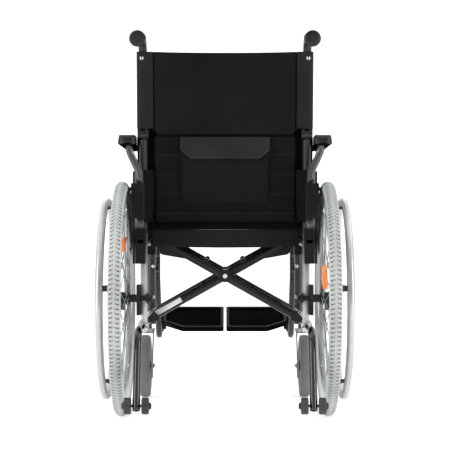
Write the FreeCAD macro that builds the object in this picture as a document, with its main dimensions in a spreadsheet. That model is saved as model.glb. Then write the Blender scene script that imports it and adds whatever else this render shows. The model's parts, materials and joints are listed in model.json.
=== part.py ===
import FreeCAD, Part
import math
import os
import Sketcher
from FreeCAD import Placement, Rotation, Vector

# A folding wheelchair. Millimetres. The chair looks along +Y, +X is its right side, +Z is up.
# X is zero in the middle, Z is zero on the floor, and Y is zero at the middle of the overall length.
# The measures below count Y from the rear axle.

SIZES = {
    # Rear wheels
    "wheel_x": 270.0,
    "axle_z": 307.0,
    "tyre_radius": 307.0,
    "tyre_width": 33.0,
    "tyre_height": 39.0,
    "bead_width": 20.0,
    "tread_width": 18.0,
    "tyre_round": 7.0,
    "rim_depth": 16.0,
    "rim_lip": 7.0,
    "rim_width": 28.0,
    "rim_base_width": 15.0,
    "rim_wall": 3.0,
    "rim_slope": 9.0,
    "hub_radius": 16.0,
    "hub_length": 40.0,
    "flange_radius": 26.0,
    "flange_thick": 3.0,
    "flange_inset": 4.0,
    "spoke_radius": 1.2,
    "spoke_circle": 22.0,
    "spoke_pairs": 9,
    "spoke_lead_angle": 60.0,
    "spoke_rim_step": 1.7,
    "spoke_flange_step": 1.8,
    "spoke_sink": 2.0,
    "push_x": 310.0,
    "push_inset": 52.0,
    "push_tube_radius": 10.0,
    "tab_count": 6,
    "tab_lead_angle": 21.7,
    "tab_width": 20.0,
    "tab_thick": 5.0,
    "axle_radius": 6.3,
    "axle_inner_x": 190.0,
    "axle_head_radius": 10.5,
    "axle_head_thick": 5.0,
    "nut_radius": 10.0,
    "nut_thick": 6.0,
    "spacer_radius": 10.5,
    # Side frames
    "frame_x": 214.5,
    "upright_y": 22.0,
    "upright_radius": 9.5,
    "lower_tube_z": 238.0,
    "lower_tube_radius": 12.5,
    "lower_tube_rear": -22.0,
    "socket_flare_radius": 14.5,
    "socket_flare_length": 14.0,
    "socket_depth": 150.0,
    "post_ahead": 98.0,
    "post_radius": 12.5,
    "post_bottom": 212.0,
    "post_top": 497.0,
    "upper_tube_z": 452.0,
    "upper_tube_radius": 11.0,
    "tube_wall": 2.0,
    "weld_gap": 0.3,
    "plate_thick": 8.0,
    "plate_below": 45.0,
    "plate_above": 36.0,
    "plate_rear": -20.0,
    "plate_front": 36.0,
    "plate_round": 12.0,
    "inner_plate_thick": 7.0,
    "inner_plate_half": 13.0,
    # Cross brace
    "pivot_x": 190.0,
    "pivot_z": 257.0,
    "centre_z": 364.0,
    "rail_x": 207.0,
    "rail_radius": 11.0,
    "rail_rear": 44.0,
    "rail_front_ahead": 81.0,
    "arm_radius": 12.2,
    "arm_gap": 0.6,
    "brace_rear_y": 62.0,
    "brace_front_ahead": 19.0,
    "sleeve_radius": 15.0,
    "sleeve_length": 30.0,
    "pin_radius": 6.0,
    "running_fit": 0.06,
    "lug_thick": 5.0,
    "lug_gap": 0.5,
    "bolt_radius": 5.0,
    "bolt_head_radius": 9.0,
    "bolt_head_thick": 5.0,
    "boss_radius": 17.0,
    "gusset_thick": 5.0,
    "gusset_inner_x": 101.0,
    "gusset_outer_x": 172.0,
    "gusset_outer_z": 421.0,
    "stop_x": 50.0,
    "stop_radius": 7.0,
    "stop_length": 20.0,
    "saddle_length": 34.0,
    "saddle_wall": 5.0,
    # Back
    "cane_radius": 11.0,
    "cane_recline_angle": 7.5,
    "cane_foot_z": 497.0,
    "hinge_z": 739.0,
    "hinge_radius": 14.0,
    "hinge_gap": 0.5,
    "hinge_cheek": 4.0,
    "hinge_pin_radius": 4.0,
    "handle_top_z": 990.0,
    "handle_bend": 40.0,
    "handle_droop_angle": 10.0,
    "handle_reach": 164.0,
    "grip_radius": 17.0,
    "grip_length": 104.0,
    "grip_rib": 1.6,
    "grip_ribs": 7,
    "collar_radius": 19.0,
    "collar_length": 7.0,
    # Clearance between a soft piece and what carries it
    "soft_gap": 0.4,
    "cover_outer_x": 230.0,
    "cover_bottom": -20.0,
    "cover_below_bend": 42.0,
    "cover_thick": 12.0,
    "cover_sag": 4.0,
    "sling_thick": 8.0,
    "strap_height": 52.0,
    "strap_groove": 4.0,
    "strap_depth": 1.6,
    "pocket_half_width": 115.0,
    "pocket_low": 42.0,
    "pocket_high": 184.0,
    "pocket_thick": 14.0,
    "pocket_round": 16.0,
    "flap_thick": 5.0,
    "flap_shoulder": 26.0,
    # Seat
    "seat_rear": 38.0,
    "seat_front_ahead": 84.0,
    "seat_edge_x": 219.0,
    "seat_cloth": 3.0,
    "seat_edge_inner_x": 188.0,
    "seat_sag": 7.0,
    "seat_depth": 34.0,
    "skirt_half_width": 197.0,
    "skirt_bottom": 442.0,
    "skirt_sag": 5.0,
    "skirt_thick": 9.0,
    # Casters
    "caster_x": 231.0,
    "stem_ahead": 143.0,
    "caster_trail": 46.0,
    "caster_radius": 90.0,
    "caster_width": 30.0,
    "caster_round": 9.0,
    "caster_rim_radius": 54.0,
    "caster_rim_wall": 5.0,
    "caster_hub_radius": 14.0,
    "caster_spokes": 5,
    "caster_spoke_width": 12.0,
    "caster_axle_radius": 4.0,
    "fork_gap": 4.0,
    "fork_thick": 3.5,
    "fork_half_width": 15.0,
    "fork_tail": 35.0,
    "fork_crown_z": 187.0,
    "fork_crown_thick": 9.0,
    "fork_crown_radius": 26.0,
    "stem_radius": 8.0,
    "housing_bottom": 197.0,
    "housing_top": 256.0,
    "housing_radius": 16.0,
    "bearing_gap": 0.5,
    # Footrests
    "hanger_x": 200.0,
    "hanger_ahead": 130.0,
    "hanger_top": 440.0,
    "hanger_knee": 345.0,
    "hanger_radius": 9.5,
    "hanger_bend": 36.0,
    "hook_height": 20.0,
    "hook_half": 6.0,
    "hanger_offset": 22.0,
    "eye_radius": 10.0,
    "hook_low_z": 366.0,
    "hook_high_z": 412.0,
    "hook_wall": 5.0,
    "foot_tilt_angle": 20.0,
    "foot_inner_x": 3.7,
    "foot_outer_x": 190.0,
    "foot_rear_ahead": 285.0,
    "foot_rear_z": 176.0,
    "foot_length": 158.0,
    "foot_thick": 6.0,
    "foot_rim_height": 9.0,
    "foot_rim_width": 9.0,
    "foot_chamfer_x": 62.0,
    "foot_chamfer_y": 46.0,
    "foot_round": 9.0,
    "flip_drop": 15.0,
    "flip_radius": 13.0,
    "flip_start": 50.0,
    "flip_length": 62.0,
    "hanger_setback": 12.0,
    "hanger_toe": 128.0,
    # Anti-tippers
    "tip_radius": 9.5,
    "tip_rear": -240.0,
    "tip_bend": 45.0,
    "tip_end_y": -318.0,
    "tip_end_z": 52.0,
    "tip_wheel_radius": 20.5,
    "tip_wheel_width": 18.0,
    "tip_wheel_x": 21.7,
    "tip_wheel_z": 62.0,
    "tip_wheel_y": -309.0,
    "tip_axle_radius": 3.5,
    # Armrests
    "arm_pivot_y": -30.5,
    "arm_pivot_z": 466.0,
    "arm_pivot_radius": 5.0,
    "socket_inner_x": 208.0,
    "socket_outer_x": 233.0,
    "socket_bottom": 399.0,
    "socket_top": 490.0,
    "socket_rear": -42.0,
    "socket_wall": 4.0,
    "post_half_x": 8.0,
    "post_half_y": 7.0,
    "box_inner_x": 209.0,
    "box_outer_x": 245.0,
    "box_bottom": 517.0,
    "box_top": 609.0,
    "box_rear": -46.0,
    "box_front": -10.0,
    "box_round": 4.0,
    "tongue_thick": 5.0,
    "tongue_half_y": 8.0,
    "tongue_bottom": 526.0,
    "slide_fit": 0.4,
    "bracket_x": 217.0,
    "bracket_top_x": 255.0,
    "bend_above_box": 31.0,
    "bend_above_tyre": 26.0,
    "pad_above_bend": 71.5,
    "pad_height": 24.5,
    "pad_inner_x": 231.5,
    "pad_outer_x": 281.0,
    "pad_rear": -30.0,
    "pad_front_ahead": -19.0,
    "pad_round": 9.0,
    "pad_plate_thick": 4.0,
    "button_radius": 5.5,
    "button_z": 594.0,
    "button_travel": 3.0,
    "button_proud": 4.0,
    "panel_x": 240.0,
    "panel_thick": 4.7,
    "panel_bottom": 398.0,
    "panel_step_drop": 133.0,
    "panel_step_ahead": -71.0,
    "panel_below_pad": 70.5,
    "panel_front_ahead": 65.0,
    "panel_round": 24.0,
    # Wheel locks
    "lock_ahead": 31.0,
    "lock_z": 424.0,
    "lock_pin_radius": 4.5,
    "lock_plate_x": 246.0,
    "lock_plate_thick": 5.0,
    "lock_clamp_half": 17.0,
    "lock_clamp_top": 459.5,
    "shoe_gap": 14.62,
    "shoe_z": 458.0,
    "shoe_radius": 8.0,
    "shoe_outer_x": 284.0,
    "handle_ahead": 59.0,
    "handle_z": 548.0,
    "knob_radius": 10.0,
    "overrun": 2.0,
}


class Size:
    """A number that carries the sum it comes from, so that it can be bound to an object."""

    def __init__(self, value, text):
        self.value = value
        self.text = text

    def __add__(self, other):
        return Size(self.value + number(other), f"({self.text} + {words(other)})")

    def __radd__(self, other):
        return Size(number(other) + self.value, f"({words(other)} + {self.text})")

    def __sub__(self, other):
        return Size(self.value - number(other), f"({self.text} - {words(other)})")

    def __rsub__(self, other):
        return Size(number(other) - self.value, f"({words(other)} - {self.text})")

    def __mul__(self, other):
        return Size(self.value * number(other), f"({self.text} * {words(other)})")

    def __rmul__(self, other):
        return Size(number(other) * self.value, f"({words(other)} * {self.text})")

    def __truediv__(self, other):
        return Size(self.value / number(other), f"({self.text} / {words(other)})")

    def __neg__(self):
        return Size(-self.value, f"(0 - {self.text})")


def number(size):
    return float(size.value if isinstance(size, Size) else size)


def words(size):
    return size.text if isinstance(size, Size) else repr(float(size))


def cosine(angle):
    return Size(math.cos(math.radians(angle.value)), f"cos({angle.text} * 1 deg)")


def sine(angle):
    return Size(math.sin(math.radians(angle.value)), f"sin({angle.text} * 1 deg)")


def arctangent(rise, run):
    angle = math.degrees(math.atan2(number(rise), number(run)))
    return Size(angle, f"(atan2({words(rise)}; {words(run)}) / 1 deg)")


def larger(a, b):
    return Size(max(a.value, b.value), f"max({a.text}; {b.text})")


def root(size):
    return Size(math.sqrt(size.value), f"sqrt({size.text})")


class Named:
    """The named sizes, as S.name."""


doc = FreeCAD.newDocument("Wheelchair")
sheet = doc.addObject("Spreadsheet::Sheet", "Sizes")
S = Named()
for row, (name, value) in enumerate(SIZES.items(), 1):
    sheet.set(f"A{row}", name)
    sheet.set(f"B{row}", str(value))
    sheet.setAlias(f"B{row}", name)
    setattr(S, name, Size(value, f"Sizes.{name}"))
doc.recompute()

# Pieces of the front frame and on it keep their distance from the front of the rear tyre.
for name in SIZES:
    if name.endswith("_ahead"):
        setattr(S, name.replace("_ahead", "_y"), S.tyre_radius + getattr(S, name))
S.bend_z = larger(S.box_top + S.bend_above_box, S.axle_z + S.tyre_radius + S.bend_above_tyre)
S.pad_bottom = S.bend_z + S.pad_above_bend
S.pad_top = S.pad_bottom + S.pad_height

X, Y, Z = Vector(1, 0, 0), Vector(0, 1, 0), Vector(0, 0, 1)
TURNS = {"X": Rotation(Y, 90), "Y": Rotation(X, -90), "Z": Rotation()}
PLANES = {"XY": ("XY_Plane", 1), "XZ": ("XZ_Plane", -1), "YZ": ("YZ_Plane", 1)}


def bind(item, **sizes):
    """Set properties of an object to sizes, each bound to the sheet."""
    for prop, size in sizes.items():
        setattr(item, prop, number(size))
        if isinstance(size, Size):
            item.setExpression(prop, size.text)
    return item


def place(item, x=0, y=0, z=0, axis=None, angle=0):
    """Put an object at a point, turned about an axis of its own frame."""
    turn = Rotation(axis, number(angle)) if axis else item.Placement.Rotation
    item.Placement = Placement(Vector(number(x), number(y), number(z)), turn)
    for letter, size in zip("xyz", (x, y, z)):
        if isinstance(size, Size):
            item.setExpression(f"Placement.Base.{letter}", size.text)
    if isinstance(angle, Size):
        item.setExpression("Placement.Rotation.Angle", angle.text)
    return item


def rod(name, radius, length, x, y, z, along):
    """A cylinder from a point, along X, Y or Z."""
    item = bind(doc.addObject("Part::Cylinder", name), Radius=radius, Height=length)
    item.Placement = Placement(Vector(), TURNS[along])
    return place(item, x, y, z)


def block(name, x, y, z):
    """A box between two values on each axis."""
    item = doc.addObject("Part::Box", name)
    bind(item, Length=x[1] - x[0], Width=y[1] - y[0], Height=z[1] - z[0])
    return place(item, x[0], y[0], z[0])


def fuse(name, items):
    item = doc.addObject("Part::MultiFuse", name)
    item.Shapes = items
    return item


def cut(name, base, tools):
    """Take one or more tools away from a base."""
    item = doc.addObject("Part::Cut", name)
    item.Base = base
    item.Tool = tools[0] if len(tools) == 1 else fuse(name + "_tools", tools)
    return item


def plane(body, which):
    return [f for f in body.Origin.OriginFeatures if f.Role == PLANES[which][0]][0]


def new_sketch(body, which, at, name):
    """A sketch on one of the body's own planes, moved to a value on the third axis."""
    sketch = body.newObject("Sketcher::SketchObject", name)
    sketch.AttachmentSupport = [(plane(body, which), "")]
    sketch.MapMode = "FlatFace"
    lift = at * PLANES[which][1]
    sketch.AttachmentOffset = Placement(Vector(0, 0, number(lift)), Rotation())
    if isinstance(lift, Size):
        sketch.setExpression("AttachmentOffset.Base.z", lift.text)
    return sketch


def tie(sketch, constraint, size):
    index = sketch.addConstraint(constraint)
    if isinstance(size, Size):
        sketch.setExpression(f"Constraints[{index}]", size.text)


def tie_point(sketch, item, end, point):
    """Hold a point of a sketch at two sizes from its origin."""
    for which, size in zip(("DistanceX", "DistanceY"), point):
        tie(sketch, Sketcher.Constraint(which, -1, 1, item, end, number(size)), size)


def arc_ends(a, p, b, radius):
    """Where a bend of a radius at corner p leaves the runs to a and b, and its centre."""
    u, v = (a - p).normalize(), (b - p).normalize()
    half = u.getAngle(v) / 2
    reach = radius / math.tan(half)
    middle = p + (u + v).normalize() * (radius / math.sin(half))
    return p + u * reach, p + v * reach, middle


def draw(sketch, points, rounds=None, closed=True):
    """Draw straight runs through points, with a round at each corner that has one."""
    rounds = rounds or {}
    flat = [Vector(number(u), number(v), 0) for u, v in points]
    count = len(flat)
    corners = range(count) if closed else range(1, count - 1)
    ends = {}
    for i in corners:
        if i in rounds:
            near, far, middle = arc_ends(flat[i - 1], flat[i], flat[(i + 1) % count], number(rounds[i]))
            ends[i] = near, far, middle
    runs = []
    for i in range(count if closed else count - 1):
        j = (i + 1) % count
        start = ends[i][1] if i in ends else flat[i]
        stop = ends[j][0] if j in ends else flat[j]
        runs.append(sketch.addGeometry(Part.LineSegment(start, stop), False))
    if not closed:
        tie_point(sketch, runs[0], 1, points[0])
        tie_point(sketch, runs[-1], 2, points[-1])
    for i in corners:
        before, after = runs[i - 1], runs[i]
        if i not in ends:
            sketch.addConstraint(Sketcher.Constraint("Coincident", before, 2, after, 1))
            tie_point(sketch, after, 1, points[i])
            continue
        near, far, middle = ends[i]
        left_turn = (flat[i] - flat[i - 1]).cross(flat[(i + 1) % count] - flat[i]).z > 0
        first, last = (near, far) if left_turn else (far, near)
        a0 = math.atan2(first.y - middle.y, first.x - middle.x)
        a1 = math.atan2(last.y - middle.y, last.x - middle.x)
        whole = Part.Circle(middle, Vector(0, 0, 1), number(rounds[i]))
        arc = sketch.addGeometry(Part.ArcOfCircle(whole, a0, a1), False)
        near_end, far_end = (1, 2) if left_turn else (2, 1)
        sketch.addConstraint(Sketcher.Constraint("Tangent", before, 2, arc, near_end))
        sketch.addConstraint(Sketcher.Constraint("Tangent", after, 1, arc, far_end))
        tie(sketch, Sketcher.Constraint("Radius", arc, number(rounds[i])), rounds[i])
        corner = sketch.addGeometry(Part.Point(flat[i]), True)
        tie_point(sketch, corner, 1, points[i])
        sketch.addConstraint(Sketcher.Constraint("PointOnObject", corner, 1, before))
        sketch.addConstraint(Sketcher.Constraint("PointOnObject", corner, 1, after))
    return sketch


def draw_circle(sketch, u, v, radius):
    whole = Part.Circle(Vector(number(u), number(v), 0), Vector(0, 0, 1), number(radius))
    ring = sketch.addGeometry(whole, False)
    tie_point(sketch, ring, 3, (u, v))
    tie(sketch, Sketcher.Constraint("Radius", ring, number(radius)), radius)
    return sketch


def new_body(name):
    return doc.addObject("PartDesign::Body", name)


def pad(body, sketch, length, name="pad", both=False):
    feature = body.newObject("PartDesign::Pad", name)
    feature.Profile = sketch
    bind(feature, Length=length)
    feature.Midplane = both
    return feature


def pocket(body, sketch, length, name="pocket", both=False, back=False):
    feature = body.newObject("PartDesign::Pocket", name)
    feature.Profile = sketch
    bind(feature, Length=length)
    feature.Midplane = both
    feature.Reversed = back
    return feature


def slab(name, which, middle, thick, points, rounds=None):
    """A flat piece of an outline, centred on a value of the third axis."""
    body = new_body(name)
    pad(body, draw(new_sketch(body, which, middle, "outline"), points, rounds), thick, both=True)
    return body


def revolve(body, sketch, axis="H_Axis", name="turned"):
    feature = body.newObject("PartDesign::Revolution", name)
    feature.Profile = sketch
    feature.ReferenceAxis = (sketch, [axis])
    feature.Angle = 360
    return feature


def bent_tube(name, which, at, points, bends, radius, bore=None):
    """A tube along straight runs and bends that lie in one plane."""
    body = new_body(name)
    route = draw(new_sketch(body, which, at, "route"), points, bends, closed=False)
    doc.recompute()
    section = body.newObject("Sketcher::SketchObject", "section")
    section.AttachmentSupport = [(route, "Edge1")]
    section.MapMode = "NormalToEdge"
    doc.recompute()
    draw_circle(section, 0, 0, radius)
    if bore:
        draw_circle(section, 0, 0, bore)
    pipe = body.newObject("PartDesign::AdditivePipe", "pipe")
    pipe.Profile = section
    pipe.Spine = (route, [f"Edge{i + 1}" for i in range(len(route.Shape.Edges))])
    return body


NODES = {}


def keep(name, item):
    """Name a finished sub-part."""
    item.Label = name
    NODES[name] = item
    return item


def both_sides(name, item):
    """Keep a piece of the right side, and its mirror image on the left."""
    keep(name + "_right", item)
    twin = doc.addObject("Part::Mirroring", name + "_twin")
    twin.Source = item
    twin.Normal = X
    keep(name + "_left", twin)


def rear_wheel():
    """Tyre, rim, spokes, hub and push rim, turned about the axle and then lifted to it."""
    outer, bead, x = S.tyre_radius, bead_radius(), S.wheel_x
    side = S.tyre_width / 2
    shoulder = outer - S.tyre_round
    belly = bead + (outer - bead) / 2 - S.tyre_round / 2
    lip = bead + S.rim_lip + S.soft_gap
    tyre = new_body("tyre")
    section = [
        (x - S.bead_width / 2, bead), (x + S.bead_width / 2, bead), (x + S.bead_width / 2, lip),
        (x + side, belly), (x + side, shoulder - S.tyre_round / 2),
        (x + S.tread_width / 2, outer), (x - S.tread_width / 2, outer),
        (x - side, shoulder - S.tyre_round / 2), (x - side, belly), (x - S.bead_width / 2, lip),
    ]
    rounds = {i: S.tyre_round for i in (3, 4, 5, 6, 7, 8)}
    revolve(tyre, draw(new_sketch(tyre, "XZ", 0, "section"), section, rounds))
    both_sides("tyre", place(tyre, z=S.axle_z))

    half, low, high = S.rim_width / 2, bead - S.rim_depth, bead + S.rim_lip
    inside = half - S.rim_wall
    rim = new_body("rim")
    section = [
        (x - S.rim_base_width / 2, low), (x + S.rim_base_width / 2, low), (x + half, low + S.rim_slope),
        (x + half, high), (x + inside, high), (x + inside, bead - S.soft_gap),
        (x - inside, bead - S.soft_gap), (x - inside, high), (x - half, high), (x - half, low + S.rim_slope),
    ]
    revolve(rim, draw(new_sketch(rim, "XZ", 0, "section"), section))
    both_sides("wheel_rim", place(rim, z=S.axle_z))

    end, flange = S.hub_length / 2, S.hub_length / 2 - S.flange_inset
    bore = S.axle_radius + S.running_fit
    hub = new_body("hub")
    section = [(x - end, bore), (x + end, bore), (x + end, S.hub_radius)]
    for sign in (1, -1):
        near, far = (flange, flange - S.flange_thick) if sign > 0 else (-(flange - S.flange_thick), -flange)
        section += [(x + near, S.hub_radius), (x + near, S.flange_radius)]
        section += [(x + far, S.flange_radius), (x + far, S.hub_radius)]
    section.append((x - end, S.hub_radius))
    revolve(hub, draw(new_sketch(hub, "XZ", 0, "section"), section))
    both_sides("hub", place(hub, z=S.axle_z))
    both_sides("spokes", spokes(flange - S.flange_thick / 2))

    push = new_body("push_rim")
    ring, reach = new_sketch(push, "XZ", 0, "ring"), outer - S.push_inset
    revolve(push, draw_circle(ring, S.push_x, reach, S.push_tube_radius))
    tab = new_sketch(push, "XZ", 0, "tab")
    rise = S.rim_slope - (reach - low)
    low, high = reach - S.tab_thick / 2, reach + S.tab_thick / 2
    start = x + half
    draw(tab, [(start, low + rise), (S.push_x, low), (S.push_x, high), (start, high + rise)])
    arm = pad(push, tab, S.tab_width, "tab_pad", both=True)
    spread = push.newObject("PartDesign::PolarPattern", "tabs")
    spread.Originals = [arm]
    spread.Axis = (ring, ["H_Axis"])
    spread.Angle = 360
    spread.Occurrences = int(S.tab_count.value)
    spread.setExpression("Occurrences", S.tab_count.text)
    push.Tip = spread
    both_sides("push_rim", place(push, 0 * x, 0 * x, S.axle_z, X, S.tab_lead_angle))


def bead_radius():
    """Where the tyre sits on the rim."""
    return S.tyre_radius - S.tyre_height


def spokes(flange):
    """Crossed spokes: on each flange, outside ones lead and inside ones trail."""
    turn = 360 / (4 * number(S.spoke_pairs))
    lead = number(S.spoke_lead_angle)
    bars = []
    for side in (1, -1):
        for layer in (1, -1):
            near = side * number(flange + layer * S.spoke_flange_step)
            far = side * number(S.spoke_rim_step * (2 + layer))
            for k in range(int(S.spoke_pairs.value)):
                start = turn * (4 * k + (1 - layer) + (1 - side) / 2)
                stop = start + layer * lead
                a = spoke_end(near, S.spoke_circle, start)
                b = spoke_end(far, bead_radius() - S.rim_depth + S.spoke_sink, stop)
                bars.append(Part.makeCylinder(number(S.spoke_radius), (b - a).Length, a, b - a))
    item = doc.addObject("Part::Feature", "spokes")
    item.Shape = Part.makeCompound(bars)
    return item


def spoke_end(x, radius, angle):
    turn = math.radians(angle)
    high = number(S.axle_z) + number(radius) * math.sin(turn)
    return Vector(number(S.wheel_x) + x, number(radius) * math.cos(turn), high)


def axle():
    """The axle, its outboard head and inboard nut, and the plates that carry it."""
    z, x = S.axle_z, S.axle_inner_x
    outer = S.wheel_x + S.hub_length / 2 + S.bearing_gap
    shaft = rod("axle_shaft", S.axle_radius, outer - x, x, 0, z, "X")
    head = rod("axle_head", S.axle_head_radius, S.axle_head_thick, outer, 0, z, "X")
    nut = rod("axle_nut", S.nut_radius, S.nut_thick, x, 0, z, "X")
    plate_x = S.frame_x + S.upright_radius + S.weld_gap
    spacer_x = plate_x + S.plate_thick + S.weld_gap
    length = S.wheel_x - S.hub_length / 2 - S.bearing_gap - spacer_x
    spacer = rod("axle_spacer", S.spacer_radius, length, spacer_x, 0, z, "X")
    both_sides("axle", fuse("axle_whole", [shaft, head, nut, spacer]))

    back, front, low, high = S.plate_rear, S.plate_front, z - S.plate_below, z + S.plate_above
    corners = [(back, low), (front, low), (front, high), (back, high)]
    rounds = {i: S.plate_round for i in range(4)}
    plate = slab("plate", "YZ", plate_x + S.plate_thick / 2, S.plate_thick, corners, rounds)
    holes = new_sketch(plate, "YZ", plate_x, "holes")
    step = (high - low) / 4
    for k in (-1, 0, 1):
        draw_circle(holes, 0, z + k * step, S.axle_radius + S.running_fit)
    pocket(plate, holes, S.plate_thick + S.overrun, back=True)
    inner_x = S.frame_x - S.upright_radius - S.weld_gap - S.inner_plate_thick
    half = S.inner_plate_half
    corners = [(back, z - half), (front, z - half), (front, z + half), (back, z + half)]
    rounds = {i: S.plate_round for i in range(4)}
    middle = inner_x + S.inner_plate_thick / 2
    inner = slab("inner_plate", "YZ", middle, S.inner_plate_thick, corners, rounds)
    hole = draw_circle(new_sketch(inner, "YZ", inner_x, "hole"), 0, z, S.axle_radius + S.running_fit)
    pocket(inner, hole, S.inner_plate_thick + S.overrun, back=True)
    plates = doc.addObject("Part::Compound", "plates")
    plates.Links = [plate, inner]
    both_sides("axle_plate", plates)


def on_back(item):
    """Move a piece drawn along Z from the back hinge to the reclined back."""
    return place(item, 0 * S.hinge_z, hinge_y(), S.hinge_z, X, S.cane_recline_angle)


def hinge_y():
    rise = S.hinge_z - S.cane_foot_z
    return S.upright_y - rise * sine(S.cane_recline_angle) / cosine(S.cane_recline_angle)


def side_frame():
    """The rear frame, an upright that runs on into the cane, and the front frame with its sockets."""
    x = S.frame_x
    low, front = S.lower_tube_z, S.post_y - S.post_radius - S.weld_gap
    rear = S.lower_tube_rear
    tube = rod("lower_tube", S.lower_tube_radius, front - rear, x, rear, low, "Y")
    flare = rod("flare", S.socket_flare_radius, S.socket_flare_length, x, rear, low, "Y")
    upright = rod("upright", S.upright_radius, S.cane_foot_z - low, x, S.upright_y, low, "Z")
    frame = fuse("rear_frame_whole", [tube, flare, upright, lower_cane()] + brace_lugs())
    bore = rod("tip_bore", S.tip_radius + S.running_fit, S.socket_depth + S.overrun,
               x, rear - S.overrun, low, "Y")
    both_sides("rear_frame", cut("rear_frame", frame, [bore]))

    post = rod("front_post", S.post_radius, S.post_top - S.post_bottom, x, S.post_y, S.post_bottom, "Z")
    start = S.upright_y + S.upright_radius + S.weld_gap
    upper = rod("upper_tube", S.upper_tube_radius, S.post_y - start, x, start, S.upper_tube_z, "Y")
    height = S.housing_top - S.housing_bottom
    housing = rod("housing", S.housing_radius, height, S.caster_x, S.stem_y, S.housing_bottom, "Z")
    web = block("web", (x - S.post_radius / 2, S.caster_x + S.housing_radius / 2), (S.post_y, S.stem_y),
                (S.post_bottom + S.post_radius / 2, S.housing_top - S.post_radius / 2))
    bore = rod("stem_bore", S.stem_radius + S.running_fit, height + 2 * S.overrun,
               S.caster_x, S.stem_y, S.housing_bottom - S.overrun, "Z")
    rail = rod("saddle_rail", S.rail_radius + S.soft_gap, S.seat_front_y, S.rail_x, 0 * start, rail_z(), "Y")
    whole = fuse("front_frame_whole", [post, upper, housing, web] + hooks() + saddles())
    both_sides("front_frame", cut("front_frame", whole, [bore, rail]))


def hooks():
    """Two arms ahead of the post, each with a pin that an eye of the footrest hanger turns on."""
    parts = []
    across, along = S.hanger_x - S.frame_x, S.hanger_y - S.post_y
    far = root(across * across + along * along)
    side_x, side_y = along * S.hook_half / far, -across * S.hook_half / far
    for n, z in enumerate((S.hook_low_z, S.hook_high_z)):
        outline = [
            (S.frame_x + side_x, S.post_y + side_y), (S.hanger_x + side_x, S.hanger_y + side_y),
            (S.hanger_x - side_x, S.hanger_y - side_y), (S.frame_x - side_x, S.post_y - side_y),
        ]
        parts.append(slab(f"hook_arm_{n}", "XY", z - S.hook_wall / 2, S.hook_wall, outline))
        parts.append(rod(f"hook_eye_{n}", S.hook_half + S.tube_wall, S.hook_wall, S.hanger_x, S.hanger_y,
                         z - S.hook_wall, "Z"))
        parts.append(rod(f"hook_pin_{n}", S.pin_radius, S.hook_height, S.hanger_x, S.hanger_y,
                         z - S.overrun, "Z"))
    return parts


def brace_planes():
    """Where the two crossed tubes of the rear and the front pair stand."""
    step = S.arm_radius * 2 + S.arm_gap
    return [(S.brace_rear_y, S.brace_rear_y + step), (S.brace_front_y, S.brace_front_y + step)]


def brace_lugs():
    """Lugs inboard of the lower tube with the pins that the cross brace turns on."""
    parts = []
    half = S.sleeve_length / 2
    for n, (rear, front) in enumerate(brace_planes()):
        low, high = rear - half - S.lug_gap, front + half + S.lug_gap
        outline = [
            (S.pivot_x, S.pivot_z - S.sleeve_radius), (S.frame_x, S.lower_tube_z),
            (S.frame_x, S.lower_tube_z + S.lower_tube_radius + S.tube_wall),
            (S.pivot_x, S.pivot_z + S.sleeve_radius), (S.pivot_x - S.sleeve_radius, S.pivot_z),
        ]
        for m, y in enumerate((low - S.lug_thick / 2, high + S.lug_thick / 2)):
            parts.append(slab(f"lug_{n}_{m}", "XZ", y, S.lug_thick, outline, {4: S.pin_radius}))
        parts.append(rod(f"pivot_pin_{n}", S.pin_radius, high - low, S.pivot_x, low, S.pivot_z, "Y"))
    return parts


def saddles():
    """Cradles on the upper tube that the seat rails rest in."""
    parts = []
    inner, outer = S.rail_x - S.rail_radius - S.saddle_wall, S.rail_x + S.rail_radius + S.saddle_wall
    half = S.saddle_length / 2
    for n, y in enumerate((S.brace_rear_y + S.saddle_length * 2, S.brace_front_y - S.saddle_length)):
        parts.append(block(f"saddle_{n}", (inner, outer), (y - half, y + half), (S.upper_tube_z, rail_z())))
    return parts


def rail_z():
    return S.centre_z + S.rail_x * (S.centre_z - S.pivot_z) / S.pivot_x


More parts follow.
